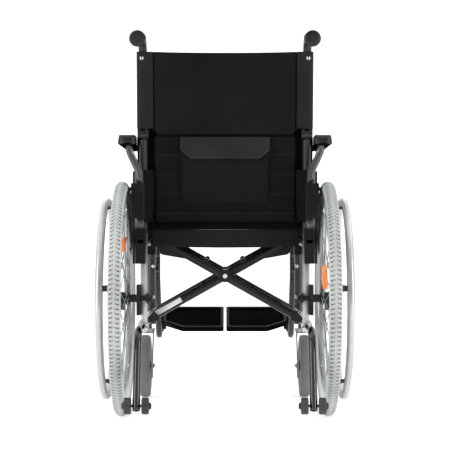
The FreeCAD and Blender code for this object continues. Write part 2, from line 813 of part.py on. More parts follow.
def cross_arm(name, planes, sign, bolt_held):
    """One half of the cross brace: two tubes from the lower pivots to a seat rail."""
    slope = arctangent(S.centre_z - S.pivot_z, S.pivot_x)
    length = root(S.pivot_x * S.pivot_x + (S.centre_z - S.pivot_z) * (S.centre_z - S.pivot_z))
    reach = length * (S.pivot_x + S.rail_x) / S.pivot_x
    half = S.sleeve_length / 2
    step = S.arm_radius * 2 + S.arm_gap
    side = S.arm_radius + S.arm_gap / 4
    solids, tools = [], []
    for n, y in enumerate(planes):
        arm = bind(doc.addObject("Part::Cylinder", f"{name}_arm_{n}"), Radius=S.arm_radius, Height=reach)
        place(arm, -S.pivot_x, y, S.pivot_z, Y, 90 - slope)
        low, high = (y - side, y + half) if bolt_held else (y - half, y + side)
        sleeve = rod(f"{name}_sleeve_{n}", S.sleeve_radius, high - low, -S.pivot_x, low, S.pivot_z, "Y")
        boss = rod(f"{name}_boss_{n}", S.boss_radius, side * 2, 0 * y, y - side, S.centre_z, "Y")
        underside = S.centre_z + S.gusset_inner_x * (S.centre_z - S.pivot_z) / S.pivot_x
        gusset = slab(f"{name}_gusset_{n}", "XZ", y, S.gusset_thick, [
            (S.gusset_inner_x, underside - S.arm_radius), (S.gusset_outer_x, S.gusset_outer_z),
            (S.rail_x - S.rail_radius, rail_z()), (S.gusset_inner_x, underside),
        ], {1: S.arm_radius})
        stop_z = S.centre_z + S.stop_x * (S.centre_z - S.pivot_z) / S.pivot_x + S.arm_radius
        stop = rod(f"{name}_stop_{n}", S.stop_radius, S.stop_length,
                   S.stop_x, y - S.stop_length / 2, stop_z, "Y")
        solids += [arm, sleeve, boss, gusset, stop]
        tools.append(rod(f"{name}_bore_{n}", S.pin_radius + S.running_fit, step * 4,
                         -S.pivot_x, y - step * 2, S.pivot_z, "Y"))
        tools.append(rod(f"{name}_hole_{n}", S.bolt_radius + S.running_fit, step,
                         0 * y, y - step / 2, S.centre_z, "Y"))
    length = S.rail_front_y - S.rail_rear
    solids.append(rod(f"{name}_rail", S.rail_radius, length, S.rail_x, S.rail_rear, rail_z(), "Y"))
    item = cut(name, fuse(name + "_whole", solids), tools)
    if sign > 0:
        return keep(name, item)
    twin = doc.addObject("Part::Mirroring", name + "_twin")
    twin.Source = item
    twin.Normal = X
    return keep(name, twin)


def cross_brace():
    """Arm B pivots on the right frame and stands behind arm A, which pivots on the left."""
    pairs = brace_planes()
    cross_arm("cross_arm_a", [front for rear, front in pairs], 1, True)
    cross_arm("cross_arm_b", [rear for rear, front in pairs], -1, False)
    bolts = []
    for n, (rear, front) in enumerate(pairs):
        side = S.arm_radius + S.arm_gap / 2
        low, high = rear - side, front + side
        shaft = rod(f"bolt_{n}", S.bolt_radius, high - low, 0 * low, low, S.centre_z, "Y")
        head = rod(f"bolt_head_{n}", S.bolt_head_radius, S.bolt_head_thick, 0 * low,
                   low - S.bolt_head_thick, S.centre_z, "Y")
        nut = rod(f"bolt_nut_{n}", S.bolt_head_radius, S.bolt_head_thick, 0 * low, high, S.centre_z, "Y")
        bolts.append(fuse(f"bolt_whole_{n}", [shaft, head, nut]))
    whole = doc.addObject("Part::Compound", "bolts")
    whole.Links = bolts
    keep("cross_bolts", whole)


def lower_cane():
    """The lower part of the reclined cane, up to the eye of the folding hinge."""
    lower = (S.hinge_z - S.cane_foot_z) / cosine(S.cane_recline_angle)
    x, none = S.frame_x, 0 * S.frame_x
    tube = rod("cane", S.cane_radius, lower - S.hinge_radius - S.hinge_gap, x, none, -lower, "Z")
    cheek = S.cane_radius - S.hinge_cheek
    eye = rod("eye", S.hinge_radius, cheek * 2, x - cheek, none, none, "X")
    neck = rod("neck", cheek - S.hinge_gap, S.hinge_radius * 2, x, none, -S.hinge_radius * 2, "Z")
    hole = rod("hinge_hole", S.hinge_pin_radius + S.running_fit, S.hinge_radius * 4,
               x - S.hinge_radius * 2, none, none, "X")
    return on_back(cut("back_cane", fuse("back_cane_whole", [tube, eye, neck]), [hole]))


def handle_rise():
    """How far up the back from the hinge the handle's bend has its corner."""
    return (S.handle_top_z - S.hinge_z) / cosine(S.cane_recline_angle)


def upper_canes():
    """The upper canes, which fold at the hinge, with the push handles and the grips."""
    x, none = S.frame_x, 0 * S.frame_x
    cheek, rise = S.cane_radius - S.hinge_cheek, handle_rise()
    tilt = S.handle_droop_angle - S.cane_recline_angle
    reach = S.handle_reach
    points = [(none, none), (none, rise), (-reach * cosine(tilt), rise - reach * sine(tilt))]
    upper = bent_tube("handle_tube", "YZ", x, points, {1: S.handle_bend}, S.cane_radius)
    outer = S.cane_radius + S.tube_wall
    wide = outer + S.hinge_gap
    fork = rod("fork", S.hinge_radius, wide * 2, x - wide, none, none, "X")
    slot = block("slot", (x - cheek - S.hinge_gap, x + cheek + S.hinge_gap),
                 (-S.hinge_radius * 2, S.hinge_radius * 2),
                 (-S.hinge_radius * 2, S.hinge_radius + S.hinge_gap))
    root_block = rod("root_block", outer, S.hinge_radius * 2, x, none, none, "Z")
    pin = rod("hinge_pin", S.hinge_pin_radius, outer * 2, x - outer, none, none, "X")
    body = fuse("upper_cane_body", [upper, fork, root_block])
    whole = fuse("upper_cane_whole", [cut("upper_cane_slotted", body, [slot]), pin])
    both_sides("upper_cane", on_back(whole))

    start = reach - S.grip_length
    grip = new_body("grip")
    bore = S.cane_radius + S.soft_gap
    section = [(bore, none), (S.collar_radius, none), (S.collar_radius, S.collar_length)]
    pitch = (S.grip_length - S.collar_length * 2) / (S.grip_ribs + 1)
    for k in range(int(S.grip_ribs.value)):
        at = S.collar_length + pitch * (k + 1)
        section += [(S.grip_radius, at - pitch / 4), (S.grip_radius - S.grip_rib, at),
                    (S.grip_radius, at + pitch / 4)]
    end = S.grip_length + S.collar_length
    section += [(S.grip_radius, end - S.collar_length), (S.collar_radius, end - S.collar_length / 2),
                (S.collar_radius, end), (none, end), (none, S.grip_length + S.soft_gap),
                (bore, S.grip_length + S.soft_gap)]
    corner = len(section) - 4
    revolve(grip, draw(new_sketch(grip, "XZ", 0, "section"), section, {corner: S.grip_rib}), "V_Axis")
    place(grip, x, -start * cosine(tilt), rise - start * sine(tilt), X, 90 + tilt)
    holder = doc.addObject("Part::Compound", "grip_holder")
    holder.Links = [grip]
    both_sides("hand_grip", on_back(holder))


def back_sling(name, low, high, inner, outer_x, thick):
    """A cloth panel between two sleeves that wrap the canes, drawn as a section across the back."""
    body = new_body(name)
    sleeve = outer_x - S.frame_x
    half = S.frame_x - S.cane_radius * 2
    depth = thick / 2
    section = [
        (half, -depth), (S.frame_x - S.cane_radius, -sleeve), (outer_x, -sleeve),
        (outer_x, sleeve), (S.frame_x - S.cane_radius, sleeve), (half, depth),
        (-half, depth), (-S.frame_x + S.cane_radius, sleeve), (-outer_x, sleeve),
        (-outer_x, -sleeve), (-S.frame_x + S.cane_radius, -sleeve), (-half, -depth),
    ]
    big = sleeve - S.tube_wall / 2
    rounds = {2: big, 3: big, 8: big, 9: big, 1: S.tube_wall, 4: S.tube_wall, 7: S.tube_wall, 10: S.tube_wall}
    pad(body, draw(new_sketch(body, "XY", low, "section"), section, rounds), high - low)
    bores = new_sketch(body, "XY", low, "bores")
    for x in (S.frame_x, -S.frame_x):
        draw_circle(bores, x, 0, inner)
    doc.recompute()
    pocket(body, bores, high - low + S.overrun, "bores_cut", back=True)
    return body


def back_upholstery():
    """The upper cover, the lower tension-strap sling, its pocket and the pocket's flap."""
    bore = S.cane_radius + S.soft_gap
    clear = S.hinge_radius * 2 + S.soft_gap
    top = handle_rise() - S.cover_below_bend
    cover = back_sling("back_upper", clear, top, bore, S.cover_outer_x, S.cover_thick)
    sag = new_sketch(cover, "XZ", 0, "top_line")
    inner = S.frame_x - S.cane_radius * 2
    draw(sag, [(-inner, top), (-inner / 2, top - S.cover_sag), (inner / 2, top - S.cover_sag), (inner, top),
               (inner, top + S.overrun), (-inner, top + S.overrun)])
    pocket(cover, sag, S.cover_thick * 4, "top_sag", both=True)
    tail_top = clear + S.cover_sag
    tail = slab("cover_tail", "XZ", S.sling_thick * 0.75 + S.soft_gap, S.sling_thick / 2, [
        (-inner, S.cover_bottom), (inner, S.cover_bottom), (inner, tail_top), (-inner, tail_top)])
    keep("back_upper", on_back(fuse("back_upper_whole", [cover, tail])))

    length = (S.hinge_z - S.cane_foot_z) / cosine(S.cane_recline_angle)
    low, high = -length + S.cane_radius, -S.hinge_radius - S.soft_gap
    sling = back_sling("back_lower", low, high, bore, S.cover_outer_x, S.sling_thick)
    grooves = new_sketch(sling, "YZ", 0, "grooves")
    rear = -S.sling_thick / 2
    for k in range(1, 5):
        z = high - k * S.strap_height
        draw(grooves, [(rear - S.overrun, z - S.strap_groove), (rear, z - S.strap_groove),
                       (rear + S.strap_depth, z - S.strap_groove / 2), (rear + S.strap_depth, z),
                       (rear, z + S.strap_groove / 2), (rear - S.overrun, z + S.strap_groove / 2)])
    pocket(sling, grooves, (S.frame_x - S.cane_radius * 2) * 2, "strap_edges", both=True)
    keep("back_lower", on_back(sling))

    half, face = S.pocket_half_width, rear - S.weld_gap
    front = face - S.pocket_thick
    bag = new_body("back_pocket")
    profile = [(face, -S.pocket_high), (face, -S.pocket_low), (front + S.pocket_thick / 2, -S.pocket_low),
               (front, -S.pocket_low - S.pocket_round), (front, -S.pocket_high + S.pocket_round)]
    pad(bag, draw(new_sketch(bag, "YZ", 0, "profile"), profile), half * 2, both=True)
    keep("back_pocket", on_back(bag))

    top, low = -S.hinge_radius + S.cane_radius, -S.pocket_low - S.flap_shoulder
    shoulder, gap = -S.pocket_low - S.pocket_round, S.soft_gap
    flap = new_body("pocket_flap")
    under = front - gap
    profile = [(face, top), (face, -S.pocket_low + gap), (under + S.pocket_thick / 2, -S.pocket_low + gap),
               (under, shoulder), (under, low), (under - S.flap_thick, low),
               (under - S.flap_thick, shoulder), (face - S.flap_thick, top)]
    pad(flap, draw(new_sketch(flap, "YZ", 0, "profile"), profile, {6: S.pocket_round}), half * 2, both=True)
    corners = new_sketch(flap, "XZ", 0, "corners")
    for side in (-1, 1):
        bottom = low - S.overrun
        draw(corners, [(side * half, low + S.flap_shoulder / 2), (side * (half - S.flap_shoulder / 2), low),
                       (side * (half - S.flap_shoulder / 2), bottom), (side * (half + S.overrun), bottom),
                       (side * (half + S.overrun), low + S.flap_shoulder / 2)])
    pocket(flap, corners, S.pocket_thick * 4, "corner_cut", both=True)
    keep("pocket_flap", on_back(flap))


def seat():
    """The seat sling: a padded sheet over both rails, with a rear skirt that hangs."""
    top = rail_z() + S.rail_radius + S.soft_gap
    edge, inner = S.seat_edge_x, S.seat_edge_inner_x
    low = top + S.seat_cloth - S.seat_depth
    sheet_body = new_body("seat_sheet")
    section = [
        (-edge, top), (-inner, top), (-inner / 2, low), (inner / 2, low), (inner, top), (edge, top),
        (edge, top + S.seat_cloth), (inner, top + S.seat_cloth),
        (inner / 2, top + S.seat_cloth - S.seat_sag), (-inner / 2, top + S.seat_cloth - S.seat_sag),
        (-inner, top + S.seat_cloth), (-edge, top + S.seat_cloth),
    ]
    big = S.seat_edge_inner_x / 2
    middle = (S.seat_rear + S.seat_front_y) / 2
    pad(sheet_body, draw(new_sketch(sheet_body, "XZ", middle, "section"), section,
                         {2: big, 3: big, 8: big, 9: big}), S.seat_front_y - S.seat_rear, both=True)
    half = S.skirt_half_width
    skirt = slab("skirt", "XZ", S.seat_rear - S.skirt_thick / 2 + S.weld_gap, S.skirt_thick, [
        (-half, S.skirt_bottom), (0 * half, S.skirt_bottom - S.skirt_sag), (half, S.skirt_bottom),
        (half, top + S.seat_cloth), (inner / 2, top + S.seat_cloth - S.seat_sag),
        (-inner / 2, top + S.seat_cloth - S.seat_sag), (-half, top + S.seat_cloth),
    ], {1: S.frame_x * 2})
    keep("seat_sling", fuse("seat_whole", [sheet_body, skirt]))


def caster():
    """A swivelling fork with its stem, and the solid wheel that turns in it."""
    y, z, x = S.stem_y - S.caster_trail, S.caster_radius, S.caster_x
    half = S.caster_width / 2
    inside, crown = half + S.fork_gap, S.fork_crown_z
    wide = S.fork_half_width
    blades = []
    for sign in (-1, 1):
        middle = x + sign * (inside + S.fork_thick / 2)
        outline = [
            (y - wide, z - S.fork_tail), (y + wide, z - S.fork_tail), (y + wide, z + wide),
            (S.stem_y + wide, crown), (S.stem_y - wide, crown), (y - wide, z + wide * 2),
        ]
        blade = slab(f"fork_blade_{(1 + sign) // 2}", "YZ", middle, S.fork_thick, outline,
                     {0: wide / 2, 1: wide / 2, 2: wide, 5: wide})
        holes = new_sketch(blade, "YZ", middle, "holes")
        for k in (-1, 1):
            draw_circle(holes, y, z + k * S.fork_tail / 2, S.caster_axle_radius)
        pocket(blade, holes, S.fork_thick * 2, both=True)
        blades.append(blade)
    width = (inside + S.fork_thick) * 2
    bridge = block("fork_bridge", (x - width / 2, x + width / 2), (S.stem_y - wide, S.stem_y + wide),
                   (crown - S.fork_crown_thick / 2, crown + S.fork_crown_thick / 2))
    top = S.housing_bottom - S.bearing_gap
    crown_disc = rod("fork_crown", S.fork_crown_radius, top - crown, x, S.stem_y, crown, "Z")
    stem = rod("stem", S.stem_radius, S.housing_top - top + S.tube_wall, x, S.stem_y, top - S.overrun, "Z")
    length = width + S.fork_thick * 2
    shaft = rod("caster_axle", S.caster_axle_radius, length, x - length / 2, y, z, "X")
    both_sides("caster_fork", fuse("caster_fork", blades + [bridge, crown_disc, stem, shaft]))

    none = 0 * x
    outer, rim_r = S.caster_radius, S.caster_rim_radius
    tyre = new_body("caster_tyre")
    section = [(x - half, rim_r + S.caster_rim_wall), (x - half / 2, rim_r), (x + half / 2, rim_r),
               (x + half, rim_r + S.caster_rim_wall), (x + half, outer - S.caster_round / 2),
               (x + half - S.caster_round, outer), (x - half + S.caster_round, outer),
               (x - half, outer - S.caster_round / 2)]
    rounds = {i: S.caster_round / 2 for i in (4, 5, 6, 7)}
    revolve(tyre, draw(new_sketch(tyre, "XZ", 0, "section"), section, rounds))
    both_sides("caster_tyre", place(tyre, none, y, z))

    rim = new_body("caster_rim")
    seat_r, low = rim_r - S.weld_gap, rim_r - S.caster_rim_wall
    lip = half - S.caster_rim_wall
    section = [(x - lip, low - S.caster_rim_wall), (x + lip, low - S.caster_rim_wall),
               (x + lip, rim_r), (x + half / 2, seat_r), (x - half / 2, seat_r), (x - lip, rim_r)]
    revolve(rim, draw(new_sketch(rim, "XZ", 0, "section"), section))
    core = new_sketch(rim, "XZ", 0, "hub_section")
    bore = S.caster_axle_radius + S.running_fit
    draw(core, [(x - half, bore), (x + half, bore), (x + half, S.caster_hub_radius),
                (x - half, S.caster_hub_radius)])
    revolve(rim, core, name="hub_turned")
    web = new_sketch(rim, "XY", 0, "spoke")
    reach = S.caster_spoke_width / 2
    draw(web, [(x - lip / 2, S.caster_hub_radius - S.overrun), (x + lip / 2, S.caster_hub_radius - S.overrun),
               (x + lip / 2, low), (x - lip / 2, low)])
    arm = pad(rim, web, reach * 2, "spoke_pad", both=True)
    spread = rim.newObject("PartDesign::PolarPattern", "spoke_ring")
    spread.Originals = [arm]
    spread.Axis = (core, ["H_Axis"])
    spread.Angle = 360
    spread.Occurrences = int(S.caster_spokes.value)
    spread.setExpression("Occurrences", S.caster_spokes.text)
    rim.Tip = spread
    both_sides("caster_rim", place(rim, none, y, z))


def on_foot(item):
    """Move a piece drawn on the flat to the tilted footplate, its rear edge at zero."""
    return place(item, 0 * S.foot_rear_y, S.foot_rear_y, S.foot_rear_z, X, S.foot_tilt_angle)


def foot_point(along, up):
    """Where a point of the tilted footplate's own frame is."""
    tilt = S.foot_tilt_angle
    y = S.foot_rear_y + along * cosine(tilt) - up * sine(tilt)
    z = S.foot_rear_z + along * sine(tilt) + up * cosine(tilt)
    return y, z


def footrest():
    """The swing-away hanger, and the footplate that flips up around the hanger's foot."""
    x, none = S.hanger_x, 0 * S.hanger_x
    back = S.hanger_y + S.hanger_offset
    knee = foot_point(-S.hanger_setback, -S.flip_drop)
    toe = foot_point(S.hanger_toe, -S.flip_drop)
    points = [(back, S.hanger_top), (back, S.hanger_knee), knee, toe]
    tube = bent_tube("hanger_tube", "YZ", x, points, {1: S.hanger_bend, 2: S.hanger_bend}, S.hanger_radius,
                     S.hanger_radius - S.tube_wall)
    plug = rod("hanger_plug", S.hanger_radius + S.tube_wall, S.hook_wall, x, back, S.hanger_top, "Z")
    solids, tools = [tube, plug], []
    for n, z in enumerate((S.hook_low_z, S.hook_high_z)):
        low, tall = z + S.lug_gap, S.hook_height - S.hook_wall
        solids.append(rod(f"eye_{n}", S.eye_radius, tall, x, S.hanger_y, low, "Z"))
        solids.append(block(f"eye_web_{n}", (x - S.hook_half, x + S.hook_half),
                            (S.hanger_y, back - S.hanger_radius + S.tube_wall / 2), (low, low + tall)))
        tools.append(rod(f"eye_bore_{n}", S.pin_radius + S.running_fit, tall + S.overrun * 2, x,
                         S.hanger_y, low - S.overrun, "Z"))
    both_sides("footrest_hanger", cut("hanger", fuse("hanger_whole", solids), tools))

    inner, outer, long = S.foot_inner_x, S.foot_outer_x, S.foot_length
    plate = new_body("plate_body")
    outline = [(inner, none), (outer - S.foot_chamfer_x, none), (outer, S.foot_chamfer_y), (outer, long),
               (inner, long)]
    rounds = {i: S.foot_round for i in range(5)}
    thick = S.foot_thick + S.foot_rim_height
    pad(plate, draw(new_sketch(plate, "XY", none, "outline"), outline, rounds), thick)
    rim = S.foot_rim_width
    tray = [(inner + rim, rim), (outer - S.foot_chamfer_x - rim / 2, rim),
            (outer - rim, S.foot_chamfer_y + rim / 2), (outer - rim, long - rim), (inner + rim, long - rim)]
    pocket(plate, draw(new_sketch(plate, "XY", S.foot_thick, "tray"), tray, rounds),
           S.foot_rim_height + S.overrun, back=True)
    barrel = rod("flip_barrel", S.flip_radius, S.flip_length, x, S.flip_start, -S.flip_drop, "Y")
    web = block("flip_web", (outer - S.foot_rim_width, x + S.flip_radius / 2),
                (S.flip_start, S.flip_start + S.flip_length), (-S.flip_drop, S.foot_thick))
    bore = rod("flip_bore", S.hanger_radius + S.running_fit, S.flip_length + S.overrun * 2, x,
               S.flip_start - S.overrun, -S.flip_drop, "Y")
    whole = cut("footplate", fuse("footplate_whole", [plate, barrel, web]), [bore])
    both_sides("footplate", on_foot(whole))


def anti_tipper():
    """The bent tube that slides into the lower tube, and its pair of small wheels."""
    x, z = S.frame_x, S.lower_tube_z
    front = S.lower_tube_rear + S.socket_depth
    points = [(front, z), (S.tip_rear, z), (S.tip_end_y, S.tip_end_z)]
    tube = bent_tube("tip_tube", "YZ", x, points, {1: S.tip_bend}, S.tip_radius, S.tip_radius - S.tube_wall)
    span = S.tip_wheel_x + S.tip_wheel_width / 2 + S.nut_thick / 2
    shaft = rod("tip_axle", S.tip_axle_radius, span * 2, x - span, S.tip_wheel_y, S.tip_wheel_z, "X")
    ends = [
        rod(f"tip_head_{n}", S.tip_axle_radius * 2, S.tube_wall, at, S.tip_wheel_y, S.tip_wheel_z, "X")
        for n, at in enumerate((x - span - S.tube_wall, x + span))
    ]
    both_sides("anti_tip_tube", fuse("tip_whole", [tube, shaft] + ends))
    wheels = []
    bore = S.tip_axle_radius + S.running_fit
    for n, side in enumerate((-1, 1)):
        wheel = new_body(f"tip_wheel_{n}")
        middle = x + side * S.tip_wheel_x
        half = S.tip_wheel_width / 2
        section = [(middle - half, bore), (middle + half, bore), (middle + half, S.tip_wheel_radius),
                   (middle - half, S.tip_wheel_radius)]
        rounds = {2: S.tip_axle_radius, 3: S.tip_axle_radius}
        revolve(wheel, draw(new_sketch(wheel, "XZ", 0 * x, "section"), section, rounds))
        wheels.append(place(wheel, 0 * x, S.tip_wheel_y, S.tip_wheel_z))
    pair = doc.addObject("Part::Compound", "tip_wheels")
    pair.Links = wheels
    both_sides("anti_tip_wheels", pair)


def armrest():
    """The flip-back armrest: socket, post with its box, sliding bracket, pad, button and side panel."""
    y, z, fit = S.arm_pivot_y, S.arm_pivot_z, S.slide_fit
    inner, outer = S.socket_inner_x, S.socket_outer_x
    front = S.upright_y - S.upright_radius - S.weld_gap
    shell = block("socket_shell", (inner, outer), (S.socket_rear, front), (S.socket_bottom, S.socket_top))
    hollow = block("socket_hollow", (inner + S.socket_wall, outer - S.socket_wall),
                   (S.socket_rear - S.overrun, front - S.socket_wall),
                   (z - S.post_half_y * 2, S.socket_top + S.overrun))
    pin = rod("socket_pin", S.arm_pivot_radius, outer - inner, inner, y, z, "X")
    both_sides("arm_socket", fuse("arm_socket", [cut("socket_cut", shell, [hollow]), pin]))

    middle = (inner + outer) / 2
    post = block("arm_post_bar", (middle - S.post_half_x, middle + S.post_half_x),
                 (y - S.post_half_y, y + S.post_half_y), (z, S.box_bottom + S.overrun))
    eye = rod("arm_post_eye", S.post_half_y, S.post_half_x * 2, middle - S.post_half_x, y, z, "X")
    case = new_body("arm_box")
    outline = [(S.box_inner_x, S.box_rear), (S.box_outer_x, S.box_rear), (S.box_outer_x, S.box_front),
               (S.box_inner_x, S.box_front)]
    pad(case, draw(new_sketch(case, "XY", S.box_bottom, "outline"), outline,
                   {i: S.box_round for i in range(4)}), S.box_top - S.box_bottom)
    half, wide = S.tongue_thick / 2 + fit, S.tongue_half_y + fit
    slot = block("tongue_slot", (S.bracket_x - half, S.bracket_x + half), (y - wide, y + wide),
                 (S.tongue_bottom - fit, S.box_top + S.overrun))
    button_x = S.box_outer_x - S.button_travel * 3
    well = rod("button_well", S.button_radius + fit, S.button_travel * 3 + S.overrun,
               button_x, y, S.button_z, "X")
    pivot = rod("arm_pivot_bore", S.arm_pivot_radius + S.running_fit, S.box_outer_x, 0 * y, y, z, "X")
    both_sides("arm_post", cut("arm_post", fuse("arm_post_whole", [post, eye, case]), [slot, well, pivot]))
    cap = rod("button_cap", S.button_radius, S.button_travel * 2 + S.button_proud - fit,
              button_x + S.button_travel + fit, y, S.button_z, "X")
    both_sides("height_button", cap)

    thick = S.tongue_thick / 2
    bend, top = S.bend_z, S.pad_bottom - S.pad_plate_thick
    bracket = slab("bracket", "XZ", y, S.tongue_half_y * 2, [
        (S.bracket_x - thick, S.tongue_bottom), (S.bracket_x + thick, S.tongue_bottom),
        (S.bracket_x + thick, bend - thick), (S.bracket_top_x + thick, top - S.tongue_thick),
        (S.bracket_top_x + thick, top + thick), (S.bracket_top_x - thick, top + thick),
        (S.bracket_top_x - thick, top - thick), (S.bracket_x - thick, bend + thick),
    ], {2: S.tongue_thick, 3: S.tongue_thick, 6: S.tongue_thick, 7: S.tongue_thick * 2})
    pad_x = (S.pad_inner_x + S.pad_outer_x) / 2
    quarter = (S.pad_outer_x - S.pad_inner_x) / 4
    plate = block("pad_plate", (pad_x - quarter, pad_x + quarter),
                  (y - S.tongue_half_y, S.pad_front_y - S.pad_round * 2), (top, S.pad_bottom - S.weld_gap))
    slot_hole = rod("bracket_hole", S.arm_pivot_radius, S.pad_outer_x, 0 * y, y, (bend + top) / 2, "X")
    both_sides("arm_bracket", cut("arm_bracket", fuse("arm_bracket_whole", [bracket, plate]), [slot_hole]))

    rest = new_body("arm_pad")
    outline = [(S.pad_inner_x, S.pad_bottom), (S.pad_outer_x, S.pad_bottom), (S.pad_outer_x, S.pad_top),
               (S.pad_inner_x, S.pad_top)]
    small = S.pad_round / 3
    rounds = {0: small, 1: small, 2: S.pad_round, 3: S.pad_round}
    long = S.pad_front_y - S.pad_rear
    section = draw(new_sketch(rest, "XZ", S.pad_rear + long / 2, "section"), outline, rounds)
    pad(rest, section, long, both=True)
    both_sides("arm_pad", rest)

    rear, top = S.box_front + S.weld_gap, S.pad_bottom - S.panel_below_pad
    step = top - S.panel_step_drop
    panel = slab("side_panel", "YZ", S.panel_x, S.panel_thick, [
        (rear, S.panel_bottom), (S.panel_step_y, S.panel_bottom), (S.panel_step_y, step),
        (S.panel_front_y, step), (S.panel_front_y, top), (rear, top),
    ], {1: S.panel_round, 2: S.panel_round, 3: S.panel_round, 4: S.panel_round})
    both_sides("side_panel", panel)


def wheel_lock():
    """The wheel lock: a clamp under the upper tube, and a lever whose shoe meets the tyre."""
    x, y, z = S.frame_x, S.lock_y, S.lock_z
    half = S.lock_clamp_half
    clamp = block("lock_clamp", (x - half, x + half), (y - half, y + half),
                  (z - half / 2, S.lock_clamp_top))
    tube = rod("lock_tube", S.upper_tube_radius + S.weld_gap, half * 4, x, y - half * 2, S.upper_tube_z, "Y")
    reach = S.lock_plate_x + S.lock_plate_thick - x + S.lug_gap
    pin = rod("lock_pin", S.lock_pin_radius, reach, x, y, z, "X")
    head = rod("lock_head", S.lock_pin_radius * 2, S.lug_thick / 2, x + reach, y, z, "X")
    shank = rod("lock_shank", S.lock_pin_radius * 2, S.lock_plate_x - S.lug_gap - x, x, y, z, "X")
    both_sides("lock_clamp", cut("lock_clamp_cut", fuse("lock_whole", [clamp, pin, head, shank]), [tube]))

    middle = S.lock_plate_x + S.lock_plate_thick / 2
    wide = S.lock_pin_radius * 2
    away, up = S.tyre_radius + S.shoe_radius + S.shoe_gap, S.shoe_z - S.axle_z
    shoe_y = root(away * away - up * up)
    lever = slab("lock_lever_plate", "YZ", middle, S.lock_plate_thick, [
        (y, z - wide), (y + wide, z), (S.handle_y + wide / 2, S.handle_z),
        (S.handle_y - wide / 2, S.handle_z), (y, z + wide * 3),
        (shoe_y, S.shoe_z + wide), (shoe_y - wide, S.shoe_z), (shoe_y, S.shoe_z - wide),
    ], {i: S.lock_pin_radius for i in range(8)})
    shoe = rod("lock_shoe", S.shoe_radius, S.shoe_outer_x - S.lock_plate_x, S.lock_plate_x, shoe_y,
               S.shoe_z, "X")
    knob = rod("lock_knob", S.knob_radius, S.lock_plate_thick * 4,
               S.lock_plate_x, S.handle_y, S.handle_z, "X")
    bore = rod("lock_bore", S.lock_pin_radius + S.running_fit, S.lock_plate_thick * 4,
               S.lock_plate_x - S.lock_plate_thick, y, z, "X")
    both_sides("lock_lever", cut("lock_lever", fuse("lock_lever_whole", [lever, shoe, knob]), [bore]))


def write_parts():
    """Check every object, then write each sub-part with Y counted from the middle of the length."""
    doc.recompute()
    faults = [item.Name for item in doc.Objects if {"Invalid", "Error"} & set(item.State)]
    for name, item in NODES.items():
        if item.Shape.isNull() or not item.Shape.isValid() or not item.Shape.Solids:
            faults.append(name)
    if faults:
        raise ValueError("these pieces failed: " + ", ".join(faults))
    whole = FreeCAD.BoundBox()
    for item in NODES.values():
        whole.add(item.Shape.optimalBoundingBox(True, False))
    shift = -whole.Center.y
    os.makedirs("parts", exist_ok=True)
    for name, item in NODES.items():
        shape = item.Shape.copy()
        shape.translate(Vector(0, shift, 0))
        shape.exportStep(f"parts/{name}.step")
    print(f"{len(NODES)} pieces, {whole.XLength:.1f} x {whole.YLength:.1f} x {whole.ZLength:.1f} mm")
    print(f"the rear axle is at Y {shift:.3f}")


rear_wheel()
axle()
side_frame()
cross_brace()
upper_canes()
back_upholstery()
seat()
caster()
footrest()
anti_tipper()
armrest()
wheel_lock()
write_parts()
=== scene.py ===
# %% [markdown]
# # A folding wheelchair
# The chair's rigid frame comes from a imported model: tubes, wheels, plates and bolts, each at its real place.
# This file dresses it. Cloth, foam, rubber and trim are built here as meshes, and every surface gets a
# node-based material. Lengths are in metres, +Y is the way the chair looks, and the floor is at Z 0.

# %% Load the frame
import json
from math import copysign, cos, exp, pi, radians, sin, sqrt, tau

import bmesh
import bpy
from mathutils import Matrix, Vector


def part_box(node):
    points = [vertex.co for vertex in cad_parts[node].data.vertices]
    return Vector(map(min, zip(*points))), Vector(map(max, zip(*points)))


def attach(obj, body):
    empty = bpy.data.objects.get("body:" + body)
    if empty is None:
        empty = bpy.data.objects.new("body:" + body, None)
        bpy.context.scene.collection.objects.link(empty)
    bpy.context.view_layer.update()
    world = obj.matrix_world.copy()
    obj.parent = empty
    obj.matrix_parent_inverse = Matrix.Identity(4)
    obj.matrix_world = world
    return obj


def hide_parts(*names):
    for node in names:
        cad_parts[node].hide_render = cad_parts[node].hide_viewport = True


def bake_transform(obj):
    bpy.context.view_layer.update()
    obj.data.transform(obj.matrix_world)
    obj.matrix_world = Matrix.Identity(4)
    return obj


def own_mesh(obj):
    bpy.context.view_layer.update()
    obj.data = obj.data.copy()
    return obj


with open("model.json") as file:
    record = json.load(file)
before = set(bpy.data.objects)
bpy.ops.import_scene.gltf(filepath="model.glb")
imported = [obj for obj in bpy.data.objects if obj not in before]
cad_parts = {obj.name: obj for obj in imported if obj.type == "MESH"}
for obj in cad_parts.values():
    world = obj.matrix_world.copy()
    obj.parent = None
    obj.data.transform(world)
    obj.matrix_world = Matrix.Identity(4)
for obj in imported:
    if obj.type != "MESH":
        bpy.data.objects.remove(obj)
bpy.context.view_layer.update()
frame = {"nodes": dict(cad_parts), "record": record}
MM, FORWARD = 0.001, Vector((0, 1, 0))
AXLE_Y = sum(c.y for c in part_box("hub_right")) / 2
SIDES = (("left", -1), ("right", 1))
print("nodes", len(frame["nodes"]), "axle at", round(AXLE_Y, 4))


def new_object(name, data):
    piece = bpy.data.objects.new(name, data)
    bpy.context.scene.collection.objects.link(piece)
    return piece


def set_inputs(node, values):
    for label, value in values.items():
        node.inputs[label].default_value = value


# %% [markdown]
# ## The camera
# The photograph looks straight at the chair's back, level, from about four metres away with a long lens.
# A long lens far off keeps upright things upright, so the camera stands on the middle plane at half a metre.

